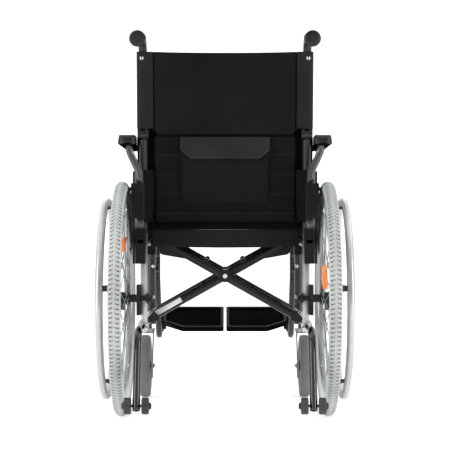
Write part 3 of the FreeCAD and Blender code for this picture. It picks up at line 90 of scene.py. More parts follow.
# %% Camera
LENS, CAMERA_BACK, CAMERA_HEIGHT = 115.44, 3.8, 0.5
camera_data = bpy.data.cameras.new("camera")
camera_data.lens = LENS
camera_data.clip_end = 60
camera = new_object("camera", camera_data)
camera.location = (0, AXLE_Y - CAMERA_BACK, CAMERA_HEIGHT)
camera.rotation_euler = (radians(90), 0, 0)
bpy.context.scene.camera = camera
print("camera", [round(c, 3) for c in camera.location])


# %% [markdown]
# ## Studio
# A product picture like this one is lit by large soft panels over a white sweep. The sweep is a floor that
# curves up far behind the chair, so no line shows where floor and wall meet. The room behind the camera is
# dark. Flat black parts mirror that dark room and stay black, and round ones catch a bright line at each side
# from the tall panels beside the camera and the long panels under the roof.

# %% Floor, sky and lights
def mesh_from(name, points, faces):
    mesh = bpy.data.meshes.new(name)
    mesh.from_pydata([tuple(p) for p in points], [], faces)
    mesh.validate()
    tidy = bmesh.new()
    tidy.from_mesh(mesh)
    bmesh.ops.recalc_face_normals(tidy, faces=tidy.faces)
    tidy.to_mesh(mesh)
    tidy.free()
    mesh.polygons.foreach_set("use_smooth", [True] * len(mesh.polygons))
    return new_object(name, mesh)


def sweep_floor(width=16.0, near=-7.0, far=4.0, radius=2.5, steps=16):
    line = [(near, 0.0), (far, 0.0)]
    for i in range(1, steps + 1):
        turn = pi / 2 * i / steps
        line.append((far + radius * sin(turn), radius * (1 - cos(turn))))
    line.append((far + radius, 9.0))
    points = [(x, y, z) for y, z in line for x in (-width / 2, width / 2)]
    faces = [(2 * i, 2 * i + 1, 2 * i + 3, 2 * i + 2) for i in range(len(line) - 1)]
    return mesh_from("studio_sweep", points, faces)


floor = sweep_floor()
paper = bpy.data.materials.new("white_paper")
paper.use_nodes = True
set_inputs(paper.node_tree.nodes["Principled BSDF"], {
    "Base Color": (0.93, 0.93, 0.93, 1), "Roughness": 0.9, "Emission Color": (1, 1, 1, 1),
    "Emission Strength": 0.35})
floor.data.materials.append(paper)

world = bpy.data.worlds.new("soft_sky")
bpy.context.scene.world = world
world.use_nodes = True
sky, link = world.node_tree.nodes, world.node_tree.links.new
towards = sky.new("ShaderNodeTexCoord")
split = sky.new("ShaderNodeSeparateXYZ")
shade = sky.new("ShaderNodeMapRange")
set_inputs(shade, {"From Min": -0.96, "From Max": -0.7, "To Min": 0.12, "To Max": 1.0})
link(towards.outputs["Generated"], split.inputs["Vector"])
link(split.outputs["Y"], shade.inputs["Value"])
seen, brighter = sky.new("ShaderNodeLightPath"), sky.new("ShaderNodeMath")
brighter.operation = "MAXIMUM"
link(shade.outputs["Result"], brighter.inputs[0])
link(seen.outputs["Is Camera Ray"], brighter.inputs[1])
link(brighter.outputs["Value"], sky["Background"].inputs["Strength"])
sky["Background"].inputs["Color"].default_value = (1, 1, 1, 1)


def soft_panel(name, place, target, wide, tall, watts):
    """A rectangular light that looks from its place at a target."""
    light = bpy.data.lights.new(name, "AREA")
    light.shape, light.size, light.size_y, light.energy = "RECTANGLE", wide, tall, watts
    lamp = new_object(name, light)
    lamp.location = place
    lamp.rotation_euler = (Vector(target) - Vector(place)).to_track_quat("-Z", "Y").to_euler()


for name, side in SIDES:
    soft_panel(f"{name}_panel", (side * 2.9, -2.1, 1.4), (0, 0, 0.6), 0.3, 2.6, 52)
for name, side in SIDES:
    soft_panel(f"{name}_roof_panel", (side * 2.5, 0.5, 2.9), (0, 0.2, 0.3), 3.0, 0.16, 22)
soft_panel("top_panel", (0, -0.6, 3.4), (0, 0, 0.4), 2.6, 2.6, 16)
soft_panel("back_panel", (0, 3.4, 2.4), (0, 0, 0.5), 2.4, 2.4, 18)
bpy.context.scene.view_settings.view_transform = "Standard"
print("studio ready")


# %% [markdown]
# ## Surface effects as node groups
# Real finishes repeat a few effects: a fine grain in moulded plastic, threads in cloth, brush lines in metal,
# and patches where hands have polished a surface. Each effect is a node group, built once, with named
# inputs, and each material places it with its own values.

# %% Node group helpers
def feed(tree, value, socket):
    """Sets a socket to a number, or links another node's output to it."""
    if isinstance(value, (int, float)):
        socket.default_value = value
    else:
        tree.links.new(value, socket)


def maths(tree, operation, a, b=None):
    node = tree.nodes.new("ShaderNodeMath")
    node.operation = operation
    for index, value in enumerate((a, b)):
        if value is not None:
            feed(tree, value, node.inputs[index])
    return node.outputs[0]


def noise_at(tree, where, scale, detail=2.0):
    node = tree.nodes.new("ShaderNodeTexNoise")
    tree.links.new(where, node.inputs["Vector"])
    feed(tree, scale, node.inputs["Scale"])
    node.inputs["Detail"].default_value = detail
    return node.outputs["Fac"]


def effect_group(name, inputs, build):
    """A node group over the object's own axes. build gives the output that each named socket carries."""
    tree = bpy.data.node_groups.new(name, "ShaderNodeTree")
    for label, value in inputs.items():
        socket = tree.interface.new_socket(label, in_out="INPUT", socket_type="NodeSocketFloat")
        socket.default_value = value
    given, place = tree.nodes.new("NodeGroupInput"), tree.nodes.new("ShaderNodeTexCoord")
    split = tree.nodes.new("ShaderNodeSeparateXYZ")
    tree.links.new(place.outputs["Object"], split.inputs[0])
    carried = build(tree, place.outputs["Object"], split.outputs, given.outputs)
    for label in carried:
        tree.interface.new_socket(label, in_out="OUTPUT", socket_type="NodeSocketFloat")
    result = tree.nodes.new("NodeGroupOutput")
    for label, value in carried.items():
        tree.links.new(value, result.inputs[label])
    return tree


# %% Grain, weave, brush lines and polish
def grain(tree, where, axes, given):
    return {"Height": noise_at(tree, where, given["Scale"], 3),
            "Mask": noise_at(tree, where, maths(tree, "MULTIPLY", given["Scale"], 0.03))}


def weave(tree, where, axes, given):
    """Threads run across and up, and a broad noise frays them and mottles the cloth."""
    warp = maths(tree, "SINE", maths(tree, "MULTIPLY", axes[0], given["Threads"]))
    climb = maths(tree, "MULTIPLY", maths(tree, "ADD", axes[1], axes[2]), given["Threads"])
    threads = maths(tree, "MULTIPLY", warp, maths(tree, "SINE", climb))
    noise = noise_at(tree, where, 140)
    fray = maths(tree, "MULTIPLY", noise, given["Fray"])
    return {"Height": maths(tree, "ADD", maths(tree, "MULTIPLY", threads, 0.5), fray),
            "Mask": maths(tree, "ADD", maths(tree, "MULTIPLY", threads, 0.35), noise)}


def brush(tree, where, axes, given):
    fine = maths(tree, "MULTIPLY", given["Scale"], given["Stretch"])
    return {"Height": noise_at(tree, where, fine, 4), "Mask": noise_at(tree, where, given["Scale"])}


def polish(tree, where, axes, given):
    away = maths(tree, "SUBTRACT", noise_at(tree, where, given["Scale"], 5), 0.5)
    clamp = tree.nodes.new("ShaderNodeClamp")
    spread = maths(tree, "MULTIPLY", away, given["Sharpness"])
    tree.links.new(maths(tree, "ADD", spread, 0.5), clamp.inputs["Value"])
    return {"Mask": clamp.outputs[0]}


EFFECTS = {"grain": effect_group("fine_grain", {"Scale": 900.0}, grain),
           "weave": effect_group("woven_threads", {"Threads": 1100.0, "Fray": 0.25}, weave),
           "brush": effect_group("brush_lines", {"Scale": 60.0, "Stretch": 18.0}, brush),
           "polish": effect_group("handled_patches", {"Scale": 9.0, "Sharpness": 3.0}, polish)}
print("effects", sorted(EFFECTS))


# %% [markdown]
# ## The materials
# Each finish has a base colour that drifts between two near shades, a roughness that the polish patches
# lower a little, and a bump from its own effect. Colours are linear values matched to the photograph.

# %% Material builder
def finish_material(name, effect, shades, rough, bump, depth, metallic=0.0, coat=0.0, sheen=0.0,
                    values={}, gloss=0.25):
    material = bpy.data.materials.new(name)
    material.use_nodes = True
    tree = material.node_tree
    shader = tree.nodes["Principled BSDF"]
    surface, polish = tree.nodes.new("ShaderNodeGroup"), tree.nodes.new("ShaderNodeGroup")
    surface.node_tree, polish.node_tree = EFFECTS[effect], EFFECTS["polish"]
    set_inputs(surface, values)
    blend = maths(tree, "MULTIPLY", maths(tree, "ADD", surface.outputs["Mask"], polish.outputs["Mask"]), 0.5)
    ramp = tree.nodes.new("ShaderNodeValToRGB")
    for stop, colour, at in zip(ramp.color_ramp.elements, shades, (0.25, 0.75)):
        stop.color, stop.position = (*colour, 1), at
    tree.links.new(blend, ramp.inputs["Fac"])
    tree.links.new(ramp.outputs["Color"], shader.inputs["Base Color"])
    span = tree.nodes.new("ShaderNodeMapRange")
    set_inputs(span, {"To Min": rough[0], "To Max": rough[1]})
    tree.links.new(blend, span.inputs["Value"])
    tree.links.new(span.outputs["Result"], shader.inputs["Roughness"])
    relief = tree.nodes.new("ShaderNodeBump")
    set_inputs(relief, {"Strength": bump, "Distance": depth})
    tree.links.new(surface.outputs["Height"], relief.inputs["Height"])
    tree.links.new(relief.outputs["Normal"], shader.inputs["Normal"])
    set_inputs(shader, {"Metallic": metallic, "Coat Weight": coat, "Sheen Weight": sheen,
                        "Specular IOR Level": gloss})
    return material


def grey(low, high, tint=(1, 1, 1)):
    return [tuple(level * t for t in tint) for level in (low, high)]


# %% The finishes of this chair
GREEN_GREY, COLD = (0.95, 1.0, 0.965), (1, 1, 1.05)
FINE, COARSE = {"Scale": 1600.0}, {"Scale": 700.0}
# By effect: name, two near shades, least and most roughness, bump and its depth, and other values.
FINISHES = {
    "grain": [
        ("tyre_rubber", grey(0.34, 0.43, GREEN_GREY), (0.6, 0.8), 0.25, 0.0006, dict(gloss=0.2)),
        # The groove colour is painted shade for the hollows of the tyre tread and the caster ribs.
        ("tread_groove", grey(0.075, 0.12, GREEN_GREY), (0.7, 0.9), 0.3, 0.0006, dict(gloss=0.1)),
        ("black_hub", grey(0.008, 0.014), (0.3, 0.45), 0.08, 0.0002, dict()),
        ("stand_off_black", grey(0.008, 0.014), (0.4, 0.6), 0.15, 0.0003, dict()),
        ("black_plate", grey(0.007, 0.012), (0.35, 0.5), 0.12, 0.0003, dict()),
        ("silver_frame", grey(0.58, 0.66, (1, 1, 1.01)), (0.32, 0.45), 0.05, 0.0002,
         dict(metallic=0.3, values=FINE, gloss=0.5)),
        ("dark_frame", grey(0.026, 0.038, COLD), (0.3, 0.42), 0.06, 0.0002, dict(values=FINE, gloss=0.4)),
        ("black_tube", grey(0.006, 0.0098, COLD), (0.24, 0.34), 0.05, 0.0002,
         dict(values=FINE, gloss=0.28)),
        ("dark_tube", grey(0.008, 0.013), (0.28, 0.4), 0.06, 0.0002, dict(values=FINE, gloss=0.3)),
        ("grip_rubber", grey(0.006, 0.011), (0.28, 0.42), 0.3, 0.0005, dict(gloss=0.3)),
        ("black_rim", grey(0.005, 0.009), (0.45, 0.6), 0.15, 0.0003, dict(gloss=0.15)),
        ("caster_rubber", grey(0.14, 0.2), (0.6, 0.8), 0.3, 0.0005, dict(gloss=0.15)),
        ("hanger_tube", grey(0.014, 0.023), (0.3, 0.42), 0.06, 0.0002, dict(values=FINE, gloss=0.4)),
        ("footplate_plastic", grey(0.014, 0.019), (0.4, 0.55), 0.3, 0.0004,
         dict(values=COARSE, gloss=0.012)),
        # A darker, unshiny copy of the footplate plastic, painted as shade inside the tray.
        ("tray_plastic", grey(0.0025, 0.004), (0.3, 0.4), 0.1, 0.0002, dict(values=COARSE, gloss=0.0)),
        ("gloss_black_tube", grey(0.002, 0.004), (0.04, 0.08), 0.02, 0.0001, dict(values=FINE, gloss=0.6)),
        ("roller_rubber", grey(0.024, 0.036), (0.4, 0.55), 0.15, 0.0003, dict(gloss=0.3)),
        ("black_plastic", grey(0.0045, 0.008), (0.42, 0.56), 0.3, 0.0004, dict(gloss=0.14)),
        ("box_plastic", grey(0.004, 0.0075), (0.38, 0.52), 0.3, 0.0004, dict(gloss=0.14)),
        ("pad_foam", grey(0.005, 0.009), (0.32, 0.45), 0.35, 0.0005,
         dict(values={"Scale": 1300.0}, gloss=0.3)),
        ("panel_plastic", grey(0.005, 0.009), (0.42, 0.56), 0.3, 0.0004, dict(gloss=0.05)),
        ("button_plastic", grey(0.016, 0.026), (0.26, 0.38), 0.1, 0.0002, dict()),
        ("clamp_plastic", grey(0.006, 0.011), (0.42, 0.56), 0.3, 0.0004, dict(gloss=0.2)),
        ("lever_steel", grey(0.012, 0.02), (0.32, 0.46), 0.1, 0.0002, dict(gloss=0.3)),
        ("reflector_orange", [(0.6, 0.13, 0.015), (0.95, 0.3, 0.05)], (0.12, 0.25), 0.4, 0.0005,
         dict(coat=0.3, values={"Scale": 420.0})),
        ("label_white", grey(0.68, 0.78), (0.3, 0.4), 0.04, 0.0001, dict()),
    ],
    "brush": [
        ("rim_alloy", grey(0.42, 0.54), (0.28, 0.4), 0.06, 0.0002, dict(metallic=0.85, gloss=0.5)),
        ("spoke_steel", grey(0.2, 0.3), (0.22, 0.34), 0.04, 0.0001, dict(metallic=1)),
        ("push_rim_steel", grey(0.4, 0.48), (0.3, 0.42), 0.05, 0.0002, dict(metallic=0.7, gloss=0.5)),
        ("axle_steel", grey(0.02, 0.04), (0.3, 0.4), 0.05, 0.0002, dict(metallic=0.6)),
        ("bolt_steel", grey(0.55, 0.68), (0.2, 0.32), 0.05, 0.0002, dict(metallic=1)),
        ("fork_alloy", grey(0.26, 0.36), (0.25, 0.38), 0.05, 0.0002, dict(metallic=0.8)),
        ("bracket_alloy", grey(0.06, 0.095, (0.95, 1.0, 1.0)), (0.28, 0.4), 0.06, 0.0002,
         dict(metallic=0.6, gloss=0.5)),
    ],
    "weave": [
        ("black_nylon", grey(0.0042, 0.007), (0.62, 0.82), 0.35, 0.0004, dict(sheen=0.02, gloss=0.06)),
        ("strap_nylon", grey(0.0036, 0.006), (0.66, 0.85), 0.5, 0.0005,
         dict(sheen=0.01, values={"Threads": 800.0}, gloss=0.05)),
        ("flap_nylon", grey(0.0115, 0.0165), (0.6, 0.8), 0.35, 0.0004, dict(sheen=0.04, gloss=0.08)),
        ("binding_tape", grey(0.022, 0.034), (0.55, 0.75), 0.4, 0.0004,
         dict(sheen=0.03, values={"Threads": 1900.0}, gloss=0.1)),
        ("seat_nylon", grey(0.0085, 0.013), (0.6, 0.8), 0.35, 0.0004, dict(sheen=0.02, gloss=0.07)),
        # The sleeve cloth also paints the highlight along the lip of each strap.
        ("sleeve_nylon", grey(0.0078, 0.0118), (0.58, 0.78), 0.4, 0.0004, dict(sheen=0.03, gloss=0.1)),
        # The darkest cloth, with no shine, also paints shade under the arm pads, on the bracket tops and in
        # the back's seams.
        ("lining_nylon", grey(0.0032, 0.005), (0.7, 0.85), 0.3, 0.0003, dict(gloss=0.0)),
    ],
}
FINISH = {name: finish_material(name, effect, *values, **others)
          for effect, rows in FINISHES.items() for name, *values, others in rows}
SLOT_OF = {part["node"]: part["material_slot"] for part in frame["record"]["subparts"]}


def paint(piece, *names):
    piece.data.materials.clear()
    for name in names:
        piece.data.materials.append(FINISH[name])


def dress(piece, finish, body, replaces=None):
    """Paints a new piece, sets it on its body, and hides the CAD node that it stands for."""
    paint(piece, *([finish] if isinstance(finish, str) else finish))
    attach(piece, body)
    if replaces:
        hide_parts(replaces)
    return piece


def second_finish(node, finish, chosen):
    """Gives another finish to the faces of a CAD node whose middles lie in a chosen region."""
    piece = frame["nodes"][node]
    piece.data.materials.append(FINISH[finish])
    for face in piece.data.polygons:
        if chosen(piece.matrix_world @ face.center):
            face.material_index = 1


for node, piece in frame["nodes"].items():
    paint(piece, SLOT_OF[node])

# %% Nodes with two finishes
CANE_FROM, PIVOT_INNER, PIVOT_BELOW, BRACKET_TOP = 0.4, 0.2035, 0.33, 0.7068
FOOT_Y, FOOT_Z, FOOT_TILT, TRAY_FLOOR, TRAY_RIM = 592.0, 176.0, radians(20), 5.0, 14.2


def in_cane(point):
    """The cane and the brace's lower pivots are black, while the rest of the rear frame is silver."""
    return point.z > CANE_FROM or (abs(point.x) < PIVOT_INNER and point.z < PIVOT_BELOW)


def in_shaded_tray(point):
    """Inside the raised edge of a footplate, measured square to its tilted floor: where the tray gets painted
    shade.
    """
    along, rise = (point.y - AXLE_Y) / MM - FOOT_Y, point.z / MM - FOOT_Z
    return TRAY_FLOOR < rise * cos(FOOT_TILT) - along * sin(FOOT_TILT) < TRAY_RIM


for name, _ in SIDES:
    second_finish(f"rear_frame_{name}", "dark_tube", in_cane)
    # Inside the tray the footplate takes a darker, unshiny copy of its plastic as painted shade, so the raised
    # edge reads lighter.
    second_finish(f"footplate_{name}", "tray_plastic", in_shaded_tray)
    # Faces of the bracket above this height take the darkest, unshiny cloth as painted shade under the arm
    # pad.
    second_finish(f"arm_bracket_{name}", "lining_nylon", lambda point: point.z > BRACKET_TOP)
print("finishes", len(FINISH))


# %% [markdown]
# ## Making helpers
# Most hard parts of a chair are turned on a lathe or swept along a line, so both come down to one idea:
# rings of points joined by quads. A turned part repeats one profile round an axis. Cloth is a closed shell
# between two faces, each a grid of points.

# %% Rings, turned parts and swept parts
def at(x, y, z):
    """A point given in millimetres from the rear axle, in metres of the model's frame."""
    return Vector((x * MM, y * MM + AXLE_Y, z * MM))


def around(steps):
    return [tau * k / steps for k in range(steps)]


def mirrored(half, crown=()):
    """A profile that is the same on both sides: one half, what lies between, and the half's mirror image."""
    return [*half, *crown, *((-x, r) for x, r in reversed(half))]


def middle_of(node):
    return sum(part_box(node), Vector()) / 2


def ring_mesh(name, rings, loop=False):
    """Rings of points joined by quads. The last ring meets the first, or both ends are closed."""
    size = len(rings[0])
    points = [point for ring in rings for point in ring]
    faces = []
    last = len(rings) if loop else len(rings) - 1
    for i in range(last):
        a, b = i * size, (i + 1) % len(rings) * size
        faces += [(a + j, a + (j + 1) % size, b + (j + 1) % size, b + j) for j in range(size)]
    if not loop:
        faces.append(tuple(reversed(range(size))))
        faces.append(tuple(range((len(rings) - 1) * size, len(rings) * size)))
    return mesh_from(name, points, faces)


def wheel_ring(name, profile, centre, steps, depth=lambda step, row: 0):
    """A closed profile of (sideways, radius) pairs in mm, turned about an axle. depth cuts into it."""
    rings = []
    for i, turn in enumerate(around(steps)):
        ring = [(x * MM, (r - depth(i, row)) * MM) for row, (x, r) in enumerate(profile)]
        rings.append([(centre.x + x, centre.y + r * cos(turn), centre.z + r * sin(turn))
                      for x, r in ring])
    return ring_mesh(name, rings, loop=True)


def paint_groove_shade(piece, rows, grooved):
    """Gives the darker groove colour, a painted shade, to the faces of a ring that grooved(step, row) picks.
    """
    for index, face in enumerate(piece.data.polygons):
        if grooved(*divmod(index, rows)):
            face.material_index = 1


def circle(middle, side, up, wide, deep, steps):
    """A ring round a point, or an oval one where its two reaches differ."""
    return [middle + (side * cos(a) * wide + up * sin(a) * deep) * MM for a in around(steps)]


def heading(route, i):
    """The way that a line of points goes at one of them."""
    return (route[min(i + 1, len(route) - 1)] - route[max(i - 1, 0)]).normalized()


def turned(name, profile, start, along, steps):
    """An open profile of (distance, radius) pairs in mm, turned about a line from start."""
    along = Vector(along).normalized()
    side = along.orthogonal().normalized()
    up = along.cross(side)
    return ring_mesh(name, [circle(Vector(start) + along * reach * MM, side, up, radius, radius, steps)
                            for reach, radius in profile])


def spoke_axes(turn):
    """Outwards from the axle at an angle, and across that way, both in the wheel's plane."""
    return Vector((0, cos(turn), sin(turn))), Vector((0, -sin(turn), cos(turn)))


def shell(name, columns, rows, rear, front):
    """A closed sheet. rear and front give the points of its two faces at shares u across and t up."""
    points = [face(j / columns, i / rows) for face in (rear, front) for i in range(rows + 1)
              for j in range(columns + 1)]
    wide, layer = columns + 1, (columns + 1) * (rows + 1)
    faces = [(a, a + 1, a + wide + 1, a + wide) for side in (0, 1) for i in range(rows)
             for a in range(side * layer + i * wide, side * layer + i * wide + columns)]
    border = list(range(columns)) + [columns + i * wide for i in range(rows)]
    border += [rows * wide + j for j in range(columns, 0, -1)] + [i * wide for i in range(rows, 0, -1)]
    faces += [(a, b, b + layer, a + layer) for a, b in zip(border, border[1:] + border[:1])]
    return mesh_from(name, points, faces)


def join(name, pieces):
    """One object of several meshes, so that a set of like parts counts as one piece."""
    whole = bmesh.new()
    for piece in pieces:
        whole.from_mesh(piece.data)
    mesh = bpy.data.meshes.new(name)
    whole.to_mesh(mesh)
    whole.free()
    for piece in pieces:
        bpy.data.objects.remove(piece)
    mesh.polygons.foreach_set("use_smooth", [True] * len(mesh.polygons))
    return new_object(name, mesh)


# %% [markdown]
# ## Rear tyres
# The tyre is a light grey pneumatic one with two rows of slanted grooves and a plain band between them. The
# grooves are cut in the mesh, and the faces that line them take a darker groove colour as painted shade.

# %% Tyres with a cut tread
TREAD_MARKS, MARK_STEPS, GROOVE = 164, 6, 2.2
TYRE_PROFILE = mirrored([(-10, 268), (-10.2, 275.6), (-13.5, 279), (-16, 284.5), (-16.5, 290.5),
                         (-15.4, 296.5), (-12.4, 301.4), (-9.2, 304.6), (-7.4, 305.6), (-5.6, 306.2),
                         (-3.8, 306.6), (-2, 306.9)], [(0, 307)])
# The rows of the profile that carry a groove, and how many steps its slant lags there.
MARKED = {6: 0, 7: 0, 8: 0, 9: 1, 10: 1, 14: 2, 15: 2, 16: 1, 17: 1, 18: 1}


def in_groove(step, row):
    return row in MARKED and (step + MARKED[row]) % MARK_STEPS == 0


def shaded_groove_wall(step, row):
    """True for the two faces that slope down into a groove and up out of it, which both get painted shade."""
    beside = (row + 1) % len(TYRE_PROFILE)
    return any(in_groove(step + k, row) and in_groove(step + k, beside) for k in (0, 1))


for name, side in SIDES:
    tyre = wheel_ring(f"tread_tyre_{name}", [(side * x, r) for x, r in TYRE_PROFILE],
                      middle_of(f"tyre_{name}"), TREAD_MARKS * MARK_STEPS,
                      lambda step, row: GROOVE if in_groove(step, row) else 0)
    # The faces that line each groove take the darker groove colour as painted shade.
    dress(tyre, ("tyre_rubber", "tread_groove"), f"wheel_{name}", replaces=f"tyre_{name}")
    paint_groove_shade(tyre, len(TYRE_PROFILE), shaded_groove_wall)
    print("tyre", name, len(tyre.data.polygons), "faces")


# %% [markdown]
# ## Rims, nipples and reflectors
# A box-section alloy rim has rounded flanges and a narrower base where the spokes enter. Each spoke ends in a
# small steel nipple, and one flat orange reflector is clipped between spokes on each wheel.

# %% Alloy rims
RIM = mirrored([(-3, 251.4), (-7.5, 252), (-11.5, 256.5), (-13.6, 261), (-14, 264), (-14, 273.4),
                (-13.4, 274.8), (-12.4, 275), (-11.4, 274.6), (-11, 273.6), (-11, 268.6), (-10, 267.6)])
for name, _ in SIDES:
    rim = wheel_ring(f"alloy_rim_{name}", RIM, middle_of(f"wheel_rim_{name}"), 288)
    dress(rim, "rim_alloy", f"wheel_{name}", replaces=f"wheel_rim_{name}")
print("rims done")

# %% Nipples and reflectors
SPOKE_PAIRS, SPOKE_LEAD, RIM_STEP, NIPPLE_FROM = 9, 60.0, 1.7, 241.0
NIPPLE = [(0, 1.5), (1, 1.9), (9, 1.9), (9.4, 2.8), (11.2, 2.8)]
REFLECTORS = {"left": (-7.0, 160.0, 117.0), "right": (-14.0, 122.0, 151.0)}


def spoke_ends(side):
    """Where the spokes meet the rim, by the same count and lead that the frame's spokes have."""
    turn = 360 / (4 * SPOKE_PAIRS)
    for flange in (1, -1):
        for layer in (1, -1):
            for k in range(SPOKE_PAIRS):
                angle = radians(turn * (4 * k + (1 - layer) + (1 - flange) / 2) + layer * SPOKE_LEAD)
                yield side * flange * RIM_STEP * (2 + layer), angle


def bulge(share, reach, power):
    """A cosine or sine with its shoulders pushed out, so that an oval gets flatter sides."""
    return reach * copysign(abs(share) ** power, share)


for name, side in SIDES:
    centre, nipples = middle_of(f"wheel_rim_{name}"), []
    for x, angle in spoke_ends(side):
        out, _ = spoke_axes(angle)
        start = centre + Vector((x * MM, 0, 0)) + out * NIPPLE_FROM * MM
        nipples.append(turned("nipple", NIPPLE, start, out, 10))
    dress(join(f"spoke_nipples_{name}", nipples), "bolt_steel", f"wheel_{name}")
    x, radius, angle = REFLECTORS[name]
    out, across = spoke_axes(radians(angle))
    rings = []
    for lift, grow in ((-6.5, 0.82), (-5.4, 1.0), (5.4, 1.0), (6.5, 0.82)):
        middle = centre + Vector(((side * x + lift) * MM, 0, 0))
        rings.append([middle + out * (radius + bulge(cos(a), 9.5 * grow, 0.6)) * MM
                      + across * bulge(sin(a), 33.0 * grow, 0.75) * MM for a in around(32)])
    dress(ring_mesh(f"spoke_reflector_{name}", rings), "reflector_orange", f"wheel_{name}")
print("nipples and reflectors done")


# %% [markdown]
# ## Push rims
# The hand ring is a round anodised tube. Six flat black stand-offs bolt it to the wheel's rim.

# %% Push rims with stand-offs
PUSH_RADIUS, PUSH_TUBE, TABS, TAB_LEAD, TAB_THICK = 255.0, 10.0, 6, 21.7, 2.4
# Each stand-off as (sideways, radius, half width), and the eight corners of its flat section.
TAB_PATH = [(284.2, 259.5, 9), (287.5, 259.0, 9), (292, 257.2, 8), (297, 255.6, 7.5), (302.5, 255.2, 7)]
TAB_SECTION = [(-1, -0.6), (-0.8, -1), (0.8, -1), (1, -0.6), (1, 0.6), (0.8, 1), (-0.8, 1), (-1, 0.6)]
for name, side in SIDES:
    low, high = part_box(f"push_rim_{name}")
    wheel = middle_of(f"hub_{name}")
    ring_x = (high.x if side > 0 else low.x) - side * PUSH_TUBE * MM
    profile = [(PUSH_TUBE * cos(a), PUSH_RADIUS + PUSH_TUBE * sin(a)) for a in around(24)]
    ring = wheel_ring(f"push_ring_{name}", profile, Vector((ring_x, wheel.y, wheel.z)), 288)
    dress(ring, "push_rim_steel", f"wheel_{name}", replaces=f"push_rim_{name}")
    tabs = []
    for k in range(TABS):
        out, across = spoke_axes(radians(90 + TAB_LEAD + k * 360 / TABS))
        rings = []
        for x, radius, half in TAB_PATH:
            middle = Vector((side * x * MM, wheel.y, wheel.z)) + out * radius * MM
            rings.append([middle + out * TAB_THICK * MM * v + across * half * MM * u for u, v in TAB_SECTION])
        tabs.append(ring_mesh("stand_off", rings))
    dress(join(f"push_stand_offs_{name}", tabs), "stand_off_black", f"wheel_{name}")
print("push rims done")


# %% [markdown]
# ## Casters
# The front wheels are solid grey rubber on a black five-spoke centre. A shallow rib pattern runs round the
# tread, and the section is rounder than the plain band in the frame.

# %% Caster tyres
CASTER_RIBS, RIB_STEPS, RIB_DIP, RIB_FROM, RIB_TO = 84, 4, 0.9, 4, 12
CASTER_PROFILE = mirrored([(-7.5, 54), (-14.2, 58.6), (-15, 62), (-15, 80), (-14.2, 84.4), (-11.6, 88),
                           (-8, 89.6), (-4, 90)], [(0, 90)])


def rib_depth(step, row):
    return RIB_DIP if step % RIB_STEPS == 0 and RIB_FROM <= row <= RIB_TO else 0


for name, _ in SIDES:
    caster = wheel_ring(f"ribbed_caster_{name}", CASTER_PROFILE, middle_of(f"caster_tyre_{name}"),
                        CASTER_RIBS * RIB_STEPS, rib_depth)
    dress(caster, ("caster_rubber", "tread_groove"), f"caster_wheel_{name}",
          replaces=f"caster_tyre_{name}")
    # The rib faces take the darker groove colour as painted shade.
    paint_groove_shade(caster, len(CASTER_PROFILE), lambda step, row: rib_depth(step, row) and row < RIB_TO)
print("casters done")


# %% [markdown]
# ## The back's own frame
# The canes lean back, so cloth on them is easiest to draw in their own frame: X across, V ahead of the canes
# and W up along them, counted from the hinge.

# %% Points on the reclined back
RECLINE = radians(7.5)
HINGE = at(0, -9.861, 739)


def on_back(x, v, w):
    return HINGE + Vector((x * MM, (v * cos(RECLINE) - w * sin(RECLINE)) * MM,
                           (v * sin(RECLINE) + w * cos(RECLINE)) * MM))


CANE_X, SLEEVE, SLEEVE_THICK, SLEEVE_ARC, SEAM_X, FOLDED_SHARE = 214.5, 15.3, 1.6, 145, 186.0, 0.196
PANEL, SEAM_SHADE, LINING = (-SEAM_X + 1.5, SEAM_X - 1.5), (SEAM_X - 4, SEAM_X + 5), (181, 231)


def level(low, high):
    return lambda u, t: high if t else low


def ripple(u, t):
    """Small waves that keep cloth from looking like sheet metal."""
    return sin(9 * u + 2.1 * t) * sin(5 * t + 1.3) + 0.5 * sin(23 * u + 4 * t + 0.7)


def padded_face(most, least, wave=0.0, squareness=8):
    """The depth of a face that stands out in the middle and lies close at its seams, with small waves."""
    def depth(u, t):
        rise = (1 - abs(2 * u - 1) ** 6) * (1 - abs(2 * t - 1) ** squareness)
        return least + (most - least) * rise + wave * ripple(u, t)

    return depth


def even(depth, wave=0.0):
    return padded_face(depth, depth, wave)


def sheet_mesh(name, span, line, columns, rows, rear, front, place=on_back):
    """A shell over a span across, between a lower and an upper line, with rear and front as its depths."""
    def surface(depth):
        return lambda u, t: place(span[0] + (span[1] - span[0]) * u, depth(u, t),
                                  line(u, 0) + (line(u, 1) - line(u, 0)) * t)

    return shell(name, columns, rows, surface(rear), surface(front))


def strip_mesh(name, side, span, low, high, grid, rear, front):
    """A plain strip of cloth behind one cane."""
    return sheet_mesh(name, [side * x for x in span], level(low, high), *grid, even(rear), even(front))


def fold_flat(piece):
    """Gives a cloth of the back its own copy of its mesh data."""
    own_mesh(piece)


def sleeve(name, side, low, high, rows=40):
    """A sewn tunnel round a cane: a round outside, a little fuller outwards, narrowing to a flat seam."""
    def outline(radius, tab):
        ring = []
        for k in range(33):
            a = radians(SLEEVE_ARC * (k / 16 - 1))
            ring.append((CANE_X + radius * cos(a) + max(0, 1.2 * cos(a)), radius * sin(a)))
        ring += [(SEAM_X + 9, tab * 1.7), (SEAM_X + 2, tab), (SEAM_X + 2, -tab), (SEAM_X + 9, -tab * 1.7)]
        return ring

    outer, inner = outline(SLEEVE, 2.6), outline(SLEEVE - SLEEVE_THICK, 1.1)
    rings = []
    heights = [low + (high - low) * i / rows for i in range(rows + 1)]
    for i, w in enumerate(heights):
        hug = 0.35 * sin(i * 1.7) + 0.25 * sin(i * 0.63 + side)
        rings.append([on_back(side * x, v * (1 + 0.012 * hug), w) for x, v in outer])
    for w in reversed(heights):
        rings.append([on_back(side * x, v, w) for x, v in inner])
    return ring_mesh(name, rings, loop=True)


# %% [markdown]
# ## Padding by simulation
# A sewn pad swells between its seams. Blender's cloth does this well: the mesh gets a little inner pressure,
# the sewn border is pinned, and after twenty frames the shape is kept and the simulation thrown away. No
# point may move further than a cap, so the pad stays in the space that the frame gives it.

